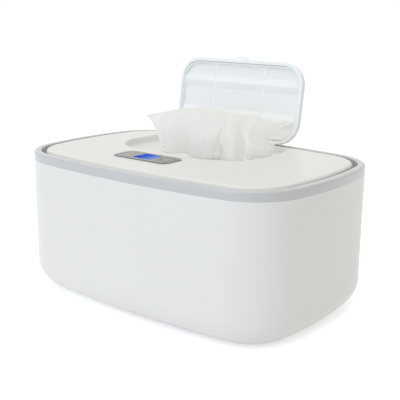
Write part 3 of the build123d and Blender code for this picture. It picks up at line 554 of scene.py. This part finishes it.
soft_tpe = blank("thermoplastic elastomer, moulded, pale grey")
where = add(soft_tpe, "ShaderNodeTexCoord").outputs["Object"]
wax = add(soft_tpe, "ShaderNodeTexNoise", {
    "Vector": where, "Scale": 1000 / wax_mm, "Detail": 4.0})
tone = add(soft_tpe, "ShaderNodeMix", {
    0: wax.outputs[0], 6: linear("#EEEDE9"), 7: linear("#E8E7E3")}, data_type="RGBA")
skin = add(soft_tpe, "ShaderNodeBump", {
    "Strength": 0.12, "Distance": 0.0001, "Height": wax.outputs[0]})
face = add(soft_tpe, "ShaderNodeBsdfPrincipled", {
    "Base Color": tone.outputs[2], "Roughness": 0.6, "Subsurface Weight": 0.1,
    "Subsurface Scale": 0.001, "Sheen Weight": 0.1, "Normal": skin.outputs[0]})
add(soft_tpe, "ShaderNodeOutputMaterial", {"Surface": face.outputs[0]})
dress(soft_tpe, "slot_frame", "lid_seal")


# ---- lid screws ---------------------------------------------------------------------
# Six screws with the same heads as in the base, shorter and thinner, drive up through the
# liner into bosses of the lid cover. They show when the lid is open.
lid_screws_mm = ((-62, -48), (30, -50), (66, 48), (-91, -8), (-87, 38), (88, -20))
lid_screw_z_mm = 93.9
lid_shank_r, lid_shank_end = 1.2, 6.6

mesh = bmesh.new()
for screw_x, screw_y in lid_screws_mm:
    pan_head((screw_x, screw_y, lid_screw_z_mm), lid_shank_r, lid_shank_end, mesh)
lid_fixings = piece("cross_head_lid_screws", mesh, zinc_steel, "lid")
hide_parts("lid_screws")


# ---- stack of wipes -----------------------------------------------------------------
# Some sixty wet wipes, each folded in a Z and laid on the next. Spunlace nonwoven of
# viscose and polyester; the folded edges bulge a little and no two lie exactly alike.

# Tangled threads in fine rows give it a soft matt face. A real thread is about 0.02 mm,
# and is drawn coarser, to show. Where the cloth is damper, it is a little greyer.
thread_mm = 0.35
thread_stretch = 0.35
row_mm = 1.6
damp_mm = 16.7


def wipe_cloth(name, see_through):
    """Spunlace cloth, and the share of light that passes it."""
    cloth = blank(name)
    where = add(cloth, "ShaderNodeTexCoord").outputs["Object"]
    pulled_out = add(cloth, "ShaderNodeMapping", {
        "Vector": where, "Scale": (1.0, 1.0, thread_stretch)})
    threads = add(cloth, "ShaderNodeTexNoise", {
        "Vector": pulled_out.outputs[0], "Scale": 1000 / thread_mm, "Detail": 5.0,
        "Roughness": 0.65, "Distortion": 1.5})
    rows = add(cloth, "ShaderNodeTexVoronoi", {"Vector": where, "Scale": 1000 / row_mm})
    rise = add(cloth, "ShaderNodeMath", {
        0: threads.outputs[0], 1: rows.outputs["Distance"]}, operation="ADD")
    damp = add(cloth, "ShaderNodeTexNoise", {
        "Vector": where, "Scale": 1000 / damp_mm, "Detail": 3.0})
    tone = add(cloth, "ShaderNodeMix", {
        0: damp.outputs[0], 6: linear("#FDFDFC"), 7: linear("#F8F8F6")}, data_type="RGBA")
    nap = add(cloth, "ShaderNodeBump", {
        "Strength": 0.22, "Distance": 0.0002, "Height": rise.outputs[0]})
    top_face = add(cloth, "ShaderNodeBsdfPrincipled", {
        "Base Color": tone.outputs[2], "Roughness": 0.82, "Sheen Weight": 0.15,
        "Sheen Roughness": 0.5, "Normal": nap.outputs[0]})
    glow = add(cloth, "ShaderNodeBsdfTranslucent", {
        "Color": tone.outputs[2], "Normal": nap.outputs[0]})
    face = add(cloth, "ShaderNodeMixShader", {
        0: see_through, 1: top_face.outputs[0], 2: glow.outputs[0]})
    add(cloth, "ShaderNodeOutputMaterial", {"Surface": face.outputs[0]})
    return cloth


# One sheet lets most light through; sixty of them on each other stay white and closed.
nonwoven = wipe_cloth("spunlace nonwoven, viscose and polyester, damp white", 0.75)
stacked_nonwoven = wipe_cloth("spunlace nonwoven, stacked in layers, damp white", 0.08)

# How thick a folded wipe is, how far its edge stays behind the stack's outline, at least
# and with what spread, how far the crease between two wipes lies behind that, and how far
# a wipe strays sideways. Its edge is full between two shares of its thickness.
wipe_mm = 0.92
edge_in, edge_spread, crease_in = 0.15, 0.75, 0.55
lowest_in, topmost_in = 1.4, 1.0
edge_low, edge_high = 0.25, 0.75
stray = 0.12
stack_corner, stack_around, stack_seed = 8.0, 120, 11

stack_low, stack_high = (Vector(c) * 1000 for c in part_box("wipe_stack"))
stack_mid = (stack_low + stack_high) / 2
stack_half = (stack_high - stack_low) / 2


def stack_ring(inset, level, sway):
    """One rounded outline of the stack, as (x, y, z) in millimetres."""
    corner = stack_corner - inset
    a, b = stack_half.x - inset, stack_half.y - inset
    points = []
    for k in range(stack_around):
        t = 2 * math.pi * k / stack_around
        c, s = math.cos(t), math.sin(t)
        reach = min(a / max(abs(c), 1e-6), b / max(abs(s), 1e-6))
        x, y = reach * c, reach * s
        ex, ey = abs(x) - (a - corner), abs(y) - (b - corner)
        if ex > 0 and ey > 0:
            pull = corner / math.hypot(ex, ey)
            if pull < 1:
                x = math.copysign(a - corner + ex * pull, x)
                y = math.copysign(b - corner + ey * pull, y)
        points.append((stack_mid.x + x + sway[0], stack_mid.y + y + sway[1], level))
    return points


def skin_between(mesh, low, high):
    """Faces between two closed rows of vertices."""
    for k in range(stack_around):
        after = (k + 1) % stack_around
        mesh.faces.new([low[k], low[after], high[after], high[k]])


draw = random.Random(stack_seed)
layers = int((stack_high.z - stack_low.z) / wipe_mm)
thick = (stack_high.z - stack_low.z) / layers
level = stack_low.z
rings = [stack_ring(lowest_in, level, (0, 0))]
for n in range(layers):
    shy = edge_in + edge_spread * draw.random()
    sway = (draw.uniform(-stray, stray), draw.uniform(-stray, stray))
    rings.append(stack_ring(shy, level + edge_low * thick, sway))
    rings.append(stack_ring(shy, level + edge_high * thick, sway))
    level += thick
    rings.append(stack_ring(shy + crease_in, level, sway) if n < layers - 1
                 else stack_ring(topmost_in, level, (0, 0)))
mesh = bmesh.new()
rows = [[mesh.verts.new((x / 1000, y / 1000, z / 1000)) for x, y, z in ring] for ring in rings]
for low, high in zip(rows, rows[1:]):
    skin_between(mesh, low, high)
mesh.faces.new(rows[0][::-1])

# The top wipe sags in soft waves, and steps down where its upper leaf ends in a crooked
# edge: how deep it sags on average and at its waves, the least sag, how long the waves
# are in x and y, and the edge's place, its wander and the step. All in millimetres. The
# sag is full from 1 / sag_rise of the way in.
sag, sag_wave, least_sag = 1.7, 1.9, 0.1
long_wave_mm, short_wave_mm, short_share = (34, 20), (11, 8), 0.35
leaf_edge, leaf_wander, leaf_wander_mm, leaf_step = 12, 0.8, 15, 1.3
top_rows, sag_rise = 24, 6

inward = rows[-1]
for n in range(1, top_rows):
    share = 1 - n / top_rows
    row = []
    for v in rows[-1]:
        x, y = v.co.x * 1000, v.co.y * 1000
        x = stack_mid.x + (x - stack_mid.x) * share
        y = stack_mid.y + (y - stack_mid.y) * share
        wave = noise.noise(Vector((x / long_wave_mm[0], y / long_wave_mm[1], 0.3))) \
            + short_share * noise.noise(Vector((x / short_wave_mm[0], y / short_wave_mm[1], 4.1)))
        dip = min(-least_sag, -sag - sag_wave * wave)
        if y > stack_mid.y + leaf_edge + leaf_wander * math.sin(x / leaf_wander_mm):
            dip -= leaf_step
        height = stack_high.z + dip * min(1, (1 - share) * sag_rise)
        row.append(mesh.verts.new((x / 1000, y / 1000, height / 1000)))
    skin_between(mesh, inward, row)
    inward = row
mesh.faces.new(inward)
wipes = piece("folded_wipes", mesh, stacked_nonwoven, "base")
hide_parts("wipe_stack")


# ---- hatch cover and hatch liner ----------------------------------------------------
# The flip hatch: a cover with its finger tab and hinge knuckles, and the ribbed panel that
# snaps into it. Both are moulded thin in polypropylene with a cool tint, so light passes
# into them and softens their edges.
hatch_cloud_mm = 26.3

cool_pp = blank("polypropylene, moulded, cool white, translucent")
where = add(cool_pp, "ShaderNodeTexCoord").outputs["Object"]
cloud = add(cool_pp, "ShaderNodeTexNoise", {
    "Vector": where, "Scale": 1000 / hatch_cloud_mm, "Detail": 4.0})
tone = add(cool_pp, "ShaderNodeMix", {
    0: cloud.outputs[0], 6: linear("#F6F8F6"), 7: linear("#F0F3F1")}, data_type="RGBA")
drag = add(cool_pp, "ShaderNodeBump", {
    "Strength": 0.06, "Distance": 0.0003, "Height": cloud.outputs[0]})
face = add(cool_pp, "ShaderNodeBsdfPrincipled", {
    "Base Color": tone.outputs[2], "Roughness": 0.34, "IOR": 1.49, "Subsurface Weight": 0.3,
    "Subsurface Radius": (1.0, 1.0, 1.0), "Subsurface Scale": 0.003,
    "Normal": drag.outputs[0]})
add(cool_pp, "ShaderNodeOutputMaterial", {"Surface": face.outputs[0]})
dress(cool_pp, "hatch_liner", "hatch_cover")


# ---- display strip, keys, window and module -----------------------------------------
# A grey strip of glossy ABS glued in the lid's front edge. Two keys of the same plastic
# move in it; between them a clear acrylic window covers a liquid-crystal module.

# The strip's polished grey mirrors the room, blurred here and there by the haze that
# wiping with damp fingers leaves.
smear_mm = 14.3

grey_gloss = blank("ABS, moulded, mid grey, high gloss")
where = add(grey_gloss, "ShaderNodeTexCoord").outputs["Object"]
smear = add(grey_gloss, "ShaderNodeTexNoise", {
    "Vector": where, "Scale": 1000 / smear_mm, "Detail": 4.0})
tone = add(grey_gloss, "ShaderNodeMix", {
    0: smear.outputs[0], 6: linear("#6E6F6C"), 7: linear("#767774")}, data_type="RGBA")
haze = add(grey_gloss, "ShaderNodeMapRange", {0: smear.outputs[0], 3: 0.12, 4: 0.24})
face = add(grey_gloss, "ShaderNodeBsdfPrincipled", {
    "Base Color": tone.outputs[2], "IOR": 1.53, "Roughness": haze.outputs[0]})
add(grey_gloss, "ShaderNodeOutputMaterial", {"Surface": face.outputs[0]})
dress(grey_gloss, "display_strip", "power_key", "heat_key")

# Window and module are bonded face to face, so the blue light reaches the window's top,
# deep at its left and paler at its right. Its anti-glare coat leaves next to no shine.
polariser_mm = 0.833
fade_shares = (0.4, 0.8)

lit_left, lit_right = (c.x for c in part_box("display_window"))
fade_from, fade_to = (lit_left + share * (lit_right - lit_left) for share in fade_shares)
blue_window = blank("acrylic, moulded, anti-glare coated, lit blue from behind")
where = add(blue_window, "ShaderNodeTexCoord").outputs["Object"]
along = add(blue_window, "ShaderNodeSeparateXYZ", {0: where})
fade = add(blue_window, "ShaderNodeMapRange", {0: along.outputs[0], 1: fade_from, 2: fade_to},
           interpolation_type="SMOOTHSTEP")
light = add(blue_window, "ShaderNodeMix", {
    0: fade.outputs[0], 6: linear("#2A55D6"), 7: linear("#789CE0")}, data_type="RGBA")
polariser = add(blue_window, "ShaderNodeTexNoise", {
    "Vector": where, "Scale": 1000 / polariser_mm, "Detail": 2.0})
dull = add(blue_window, "ShaderNodeMapRange", {0: polariser.outputs[0], 3: 0.25, 4: 0.4})
face = add(blue_window, "ShaderNodeBsdfPrincipled", {
    "Base Color": linear("#101C50"), "Roughness": dull.outputs[0], "Specular IOR Level": 0.0,
    "Emission Color": light.outputs[2], "Emission Strength": 0.8})
add(blue_window, "ShaderNodeOutputMaterial", {"Surface": face.outputs[0]})
dress(blue_window, "display_window", "lcd_module")

# The figures are clear gaps in the module's dark mask, so they show as a paler blue: a
# plain seven-segment 45 and a small ring. Sizes and places are in millimetres.
digit_high, digit_wide, digit_stroke = 8.8, 4.5, 0.95
digit_lean = 0.1
digit_level = 107.72
digit_mid = (-17.6, -34.1)
digits_lit = ((-3.1, "bcfg"), (3.1, "acdfg"))
ring_offset, ring_radii, ring_steps = (8.6, 3.0), (0.65, 1.1), 12

lit_figures = blank("liquid-crystal segments, pale light")
face = add(lit_figures, "ShaderNodeBsdfPrincipled", {
    "Base Color": linear("#34509C"), "Roughness": 0.4, "Specular IOR Level": 0.0,
    "Emission Color": linear("#7C9EE8"), "Emission Strength": 0.38})
add(lit_figures, "ShaderNodeOutputMaterial", {"Surface": face.outputs[0]})


def bar(mesh, start, end, stroke, level):
    """A flat stroke with pointed ends between two points, all in millimetres."""
    run = Vector((end[0] - start[0], end[1] - start[1]))
    run.normalize()
    side = Vector((-run.y, run.x)) * stroke / 2
    tip = run * stroke / 2
    a, b = Vector(start), Vector(end)
    outline = (a, a + tip + side, b - tip + side, b, b - tip - side, a + tip - side)
    mesh.faces.new([mesh.verts.new((p.x / 1000, p.y / 1000, level / 1000)) for p in outline])


w, h = digit_wide / 2, digit_high / 2
strokes = {"a": ((-w, h), (w, h)), "b": ((w, h), (w, 0)), "c": ((w, 0), (w, -h)),
           "d": ((-w, -h), (w, -h)), "f": ((-w, h), (-w, 0)), "g": ((-w, 0), (w, 0))}
mesh = bmesh.new()
for place, lit in digits_lit:
    cx, cy = digit_mid[0] + place, digit_mid[1]
    for key in lit:
        (x0, y0), (x1, y1) = strokes[key]
        bar(mesh, (cx + x0 + digit_lean * y0, cy + y0), (cx + x1 + digit_lean * y1, cy + y1),
            digit_stroke, digit_level)
for k in range(ring_steps):
    a0, a1 = 2 * math.pi * k / ring_steps, 2 * math.pi * (k + 1) / ring_steps
    near, far = ring_radii
    mesh.faces.new([mesh.verts.new(((digit_mid[0] + ring_offset[0] + r * math.cos(a)) / 1000,
                                    (digit_mid[1] + ring_offset[1] + r * math.sin(a)) / 1000,
                                    digit_level / 1000))
                    for r, a in ((near, a0), (far, a0), (far, a1), (near, a1))])
piece("lcd_figures", mesh, lit_figures, "lid", smooth=False)

# Key marks, pad-printed in white ink: a power ring on the left and warm-air waves on the
# right. The ink dries matt, with specks too small to show one by one.
speck_mm = 0.4
ink_mm = 0.38
ink_level = 107.72
power_at, power_radius = (-33.4, -34.1), 2.0
power_arc = [math.radians(a) for a in range(125, 416, 12)]
power_stem = (0.3, 2.6)
heat_at, heat_high, heat_sway = (1.8, -34.1), 4.4, 0.45
heat_shifts, heat_steps, heat_period = (-1.6, 0.0, 1.6), 16, 12

white_ink = blank("pad-printing ink, white, matt")
where = add(white_ink, "ShaderNodeTexCoord").outputs["Object"]
speck = add(white_ink, "ShaderNodeTexNoise", {
    "Vector": where, "Scale": 1000 / speck_mm, "Detail": 2.0})
tone = add(white_ink, "ShaderNodeMix", {
    0: speck.outputs[0], 6: linear("#C6C7C5"), 7: linear("#D2D3D1")}, data_type="RGBA")
face = add(white_ink, "ShaderNodeBsdfPrincipled", {
    "Base Color": tone.outputs[2], "Roughness": 0.55})
add(white_ink, "ShaderNodeOutputMaterial", {"Surface": face.outputs[0]})


def ink_line(mesh, points, width, level):
    """A flat printed line through points, in millimetres."""
    rows = []
    for k, p in enumerate(points):
        before, after = Vector(points[max(k - 1, 0)]), Vector(points[min(k + 1, len(points) - 1)])
        run = (after - before).normalized()
        side = Vector((-run.y, run.x)) * width / 2
        rows.append([mesh.verts.new((q.x / 1000, q.y / 1000, level / 1000))
                     for q in (Vector(p) + side, Vector(p) - side)])
    for (a, b), (c, d) in zip(rows, rows[1:]):
        mesh.faces.new([a, b, d, c])


mesh = bmesh.new()
ink_line(mesh, [(power_at[0] + power_radius * math.cos(a), power_at[1] + power_radius * math.sin(a))
                for a in power_arc], ink_mm, ink_level)
ink_line(mesh, [(power_at[0], power_at[1] + y) for y in power_stem], ink_mm, ink_level)
piece("power_mark", mesh, white_ink, "power_button", smooth=False)
mesh = bmesh.new()
for shift in heat_shifts:
    ink_line(mesh, [(heat_at[0] + shift + heat_sway * math.sin(2 * math.pi * k / heat_period),
                     heat_at[1] - heat_high / 2 + heat_high * k / heat_steps)
                    for k in range(heat_steps + 1)], ink_mm, ink_level)
piece("heat_mark", mesh, white_ink, "heat_button", smooth=False)


# ---- the wipe in the slot -----------------------------------------------------------
# The next wipe stands up through the slot, ready to be pulled. It is one limp sheet:
# gathered in narrow pleats where the soft frame holds it, then open in a few broad folds.

# Lines of the sheet from its left edge to its right, each from the slot up to its free edge,
# and the same for its short upper leaf.
wipe_lines_mm = (
    ((-44, 23, 100), (-46, 15.5, 102.4), (-48, 15.5, 110), (-52, 15, 119),
     (-57.5, 15, 126), (-60.5, 14, 128), (-59, 16, 129)),
    ((-40, 28, 100), (-42, 15, 102.4), (-44, 18, 111), (-49, 18, 120),
     (-52, 20, 127), (-53, 23, 130), (-51, 26, 130.5)),
    ((-36, 23, 100), (-37.5, 9, 102.4), (-39, 12, 111), (-41, 14.5, 121),
     (-41, 21, 129), (-40, 28, 133), (-39, 32, 133)),
    ((-29, 31, 100), (-29.5, 10.5, 102.4), (-30, 14.5, 112), (-28.5, 19, 121),
     (-28, 25, 130), (-27, 30, 135.5), (-27, 34, 135.5)),
    ((-22, 30, 100), (-20, 18, 102.5), (-18, 25, 112), (-17, 25, 121),
     (-16, 24, 130), (-14, 29, 137), (-14, 33, 137)),
    ((-17, 23, 100), (-11, 12, 102.6), (-9, 14, 111), (-8, 15.5, 120),
     (-5, 19, 129), (-4, 27, 136.5), (-4, 31, 136.7)),
    ((-9, 22, 100), (4, 12, 102.4), (5, 12, 111), (6, 13.5, 120),
     (6, 18, 129), (6, 27, 135.5), (6, 31, 135.5)),
    ((-5, 26, 100), (12, 16, 102.4), (13.5, 16.5, 110), (12.5, 15.5, 118),
     (11, 19.5, 128), (11, 28, 135), (12, 32, 135)),
    ((-2, 23, 100), (22.5, 13.5, 102.4), (24.5, 14, 111), (23, 16, 120),
     (19, 21, 128), (18, 29, 134), (19, 33, 134.3)),
    ((4, 32, 100), (26, 21, 102.4), (28.5, 22, 109), (28.5, 23, 117),
     (24, 27, 126), (24.5, 37, 133), (25, 41, 133)),
    ((8, 25, 100), (31.5, 22, 102.4), (34, 24.5, 107), (34, 22, 115),
     (30.5, 30, 124), (31, 43, 131.4), (32, 48, 131.4)),
    ((12, 30, 100), (34, 25, 102.6), (37, 30, 106.5), (39.5, 27.5, 112.5),
     (36, 41, 121.5), (42, 52.5, 128.9), (46.4, 58, 129)),
    ((15, 31, 100), (37, 33, 102.6), (41, 39, 105), (42, 44.5, 109),
     (34.5, 47, 114), (33, 51, 119), (37, 56, 124)),
)
leaf_lines_mm = (
    ((-14, 19, 100), (-14, 10.5, 102.5), (-12.5, 9, 109), (-11.6, 8.4, 115), (-11.2, 8.6, 120.4)),
    ((-9, 19, 100), (-8, 8.5, 102.5), (-6, 7.5, 109), (-4.6, 7.4, 115.5), (-3.6, 8.2, 121.2)),
    ((-3, 19, 100), (-1, 7.8, 102.6), (0.5, 7.2, 109.5), (2, 7.4, 116), (3.2, 9.2, 122.2)),
    ((2, 20, 100), (7, 10, 102.9), (8, 9.5, 110), (9, 10.5, 118), (9.5, 14, 125)),
    ((7, 22, 100), (13, 16.5, 103.6), (14, 17, 110), (14, 19, 118), (14, 24, 125)),
)
# Points of each net across and along, and how much larger each sheet is than its lines.
wipe_grid, leaf_grid, tail_grid = (151, 57), (61, 31), (161, 31)
wipe_slack, leaf_slack = (0.03, 0.01), (0.03, 0.02)


def smooth_line(points, count):
    """count points along a Catmull-Rom spline through rows of numbers."""
    held = np.concatenate([[2 * points[0] - points[1]], points, [2 * points[-1] - points[-2]]])
    at = np.linspace(0, len(points) - 1, count)
    k = np.minimum(at.astype(int), len(points) - 2)
    t = (at - k).reshape((-1,) + (1,) * (points.ndim - 1))
    a, b, c, d = held[k], held[k + 1], held[k + 2], held[k + 3]
    return 0.5 * (2 * b + (c - a) * t + (2 * a - 5 * b + 4 * c - d) * t ** 2
                  + (3 * b - a - 3 * c + d) * t ** 3)


def face_normals(grid):
    """Unit normals of a net of points."""
    across, upward = np.gradient(grid, axis=0), np.gradient(grid, axis=1)
    n = np.cross(across, upward)
    return n / np.maximum(np.linalg.norm(n, axis=2, keepdims=True), 1e-9)


# Pleats fade out by 1 / pleat_fade of the way up, eased by a power, and don't stand evenly.
# The rest of the sheet is uneven in long soft creases and short ones.
pleat_fade, pleat_ease, pleat_phase = 2.6, 1.3, 0.6
pleat_wander, pleat_wander_rate = 0.5, 5
long_crease, short_crease, crease_share = (11, 1.6), (23, 5), 0.4


def gathered_net(lines_mm, grid, pleats, pleat_mm, seed):
    """A fine net through the sheet's lines, pleated near the slot and a little uneven."""
    net = smooth_line(np.array(lines_mm, float), grid[0])
    net = smooth_line(net.transpose(1, 0, 2), grid[1]).transpose(1, 0, 2)
    s, t = np.linspace(0, 1, grid[0])[:, None], np.linspace(0, 1, grid[1])[None, :]
    wander = pleat_wander * np.sin(pleat_wander_rate * s)
    push = pleat_mm * np.clip(1 - t * pleat_fade, 0, 1) ** pleat_ease \
        * np.sin(2 * math.pi * (pleats * s + wander) + pleat_phase)
    uneven = np.array([[
        noise.noise(Vector((long_crease[0] * a, long_crease[1] * b, seed)))
        + crease_share * noise.noise(Vector((short_crease[0] * a, short_crease[1] * b, seed + 2.4)))
        for b in t[0]] for a in s[:, 0]])
    return net + face_normals(net) * (push + uneven)[:, :, None]


# The sheet is a little larger than its first shape, so it settles into creases of its own.
# It is held hard in the slot and loosely above, and each sweep evens out its threads. A
# thread links points of the net, by their steps apart across and along, and its strength.
threads = ((1, 0, 1.0), (0, 1, 1.0), (1, 1, 0.6), (1, -1, 0.6), (2, 0, 0.5), (0, 2, 0.5),
           (4, 0, 0.30), (0, 4, 0.30))
# In each turn a point keeps a share of its speed, falls a little and moves only so far. The
# slot's grip is full at the foot, fades on the way up and leaves a loose hold.
glide, fall_mm, fastest_mm, sweeps = 0.9, 0.004, 0.6, 6
grip, grip_fade, loose_hold = 1.15, 6, 0.012


def settle(grid, slack, turns):
    """Relaxes a net of points to its threads' lengths, in millimetres."""
    goal, now = grid.copy(), grid.copy()
    pairs = []
    for di, dj, strength in threads:
        a = (slice(0, grid.shape[0] - di), slice(max(0, -dj), grid.shape[1] - max(0, dj)))
        b = (slice(di, grid.shape[0]), slice(max(0, dj), grid.shape[1] - max(0, -dj)))
        grow = (di * slack[0] + abs(dj) * slack[1]) / (di + abs(dj))
        rest = np.linalg.norm(grid[a] - grid[b], axis=2) * (1 + grow)
        pairs.append((a, b, rest, strength))
    hold = np.clip(grip - grip_fade * np.linspace(0, 1, grid.shape[1]), 0.0, 1.0) + loose_hold
    hold = np.minimum(hold, 1.0)[None, :, None]
    speed = np.zeros_like(now)
    for turn in range(turns):
        before = now.copy()
        now = now + glide * speed + np.array((0, 0, -fall_mm))
        for sweep in range(sweeps):
            for a, b, rest, strength in pairs:
                gap = now[b] - now[a]
                size = np.maximum(np.linalg.norm(gap, axis=2), 1e-6)
                move = gap * ((size - rest) / size * 0.5 * strength)[:, :, None]
                now[a] += 0.5 * move
                now[b] -= 0.5 * move
            now = now + (goal - now) * hold * 0.5
        speed = np.clip(now - before, -fastest_mm, fastest_mm)
    return now


def cloth(name, net, flat, material):
    """A sheet piece of a net of points, 0.3 mm thick, that rides on the lid."""
    mesh = bmesh.new()
    made = [[mesh.verts.new(tuple(p / 1000)) for p in row] for row in net]
    for a, b in zip(made, made[1:]):
        for k in range(net.shape[1] - 1):
            mesh.faces.new([a[k], b[k], b[k + 1], a[k + 1]])
    sheet = piece(name, mesh, material, "lid")
    thickness = sheet.modifiers.new("thickness", "SOLIDIFY")
    thickness.thickness = 0.0003
    thickness.offset = 0.0
    return sheet


# Above the slot the folds sink a little onto the frame, and none goes below its top. The
# lowest threads stay in the slot. Heights are in millimetres.
slot_level, slot_share = 100.0, 0.05
frame_level, leaf_frame_level = 102.2, 102.3
sink_mm, sink_at, sink_spread = 0.9, 0.13, 0.07

net = gathered_net(wipe_lines_mm, wipe_grid, pleats=7, pleat_mm=2.6, seed=0.7)
net = settle(net, wipe_slack, turns=60)
t = np.linspace(0, 1, wipe_grid[1])[None, :]
net[:, :, 2] -= sink_mm * np.exp(-((t - sink_at) / sink_spread) ** 2)
net[:, :, 2] = np.maximum(net[:, :, 2], np.where(t < slot_share, slot_level, frame_level))
plume = cloth("wipe_plume", net, (0.150, 0.046), nonwoven)
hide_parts("pulled_wipe")
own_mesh(plume)

# The upper leaf of the fold came up less far: its free edge lies against the front.
leaf = gathered_net(leaf_lines_mm, leaf_grid, pleats=2, pleat_mm=1.2, seed=5.2)
leaf = settle(leaf, leaf_slack, turns=40)
t = np.linspace(0, 1, leaf_grid[1])[None, :]
leaf[:, :, 2] = np.maximum(leaf[:, :, 2], np.where(t < slot_share, slot_level, leaf_frame_level))
wipe_leaf = cloth("wipe_leaf", leaf, (0.034, 0.031), nonwoven)
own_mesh(wipe_leaf)

# Below the slot the same sheet hangs slack to the top of the stack, pleated at the slot and
# in two and a half broad waves at its foot: its middle, width, spread and drop, and the
# depth of pleats, waves and slack, in millimetres.
tail_x, tail_y, tail_wide, tail_spread, tail_top, tail_drop = -15.8, 27, 59, 34, 100.6, 29.6
tail_pleats, tail_pleat_mm, tail_waves, tail_wave_mm, tail_slack_mm = 9, 6.5, 2.5, 9, 2.0
slot_phase, foot_phase, tail_ease = 0.6, 0.4, 1.5

s = np.linspace(0, 1, tail_grid[0])[:, None]
t = np.linspace(0, 1, tail_grid[1])[None, :]
slot_y = tail_y + tail_pleat_mm * np.sin(2 * math.pi * tail_pleats * s + slot_phase)
foot_y = tail_y + tail_wave_mm * np.sin(2 * math.pi * tail_waves * s + foot_phase)
x = tail_x + (s - 0.5) * (tail_wide + tail_spread * t ** tail_ease)
y = (1 - t) * slot_y + t * foot_y + tail_slack_mm * np.sin(3 * math.pi * t) * (1 - t)
z = tail_top - t * tail_drop + 0 * s
tail = np.stack([x, y, z], axis=2)
wipe_tail = cloth("wipe_tail", tail, (0.150, 0.032), nonwoven)
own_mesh(wipe_tail)
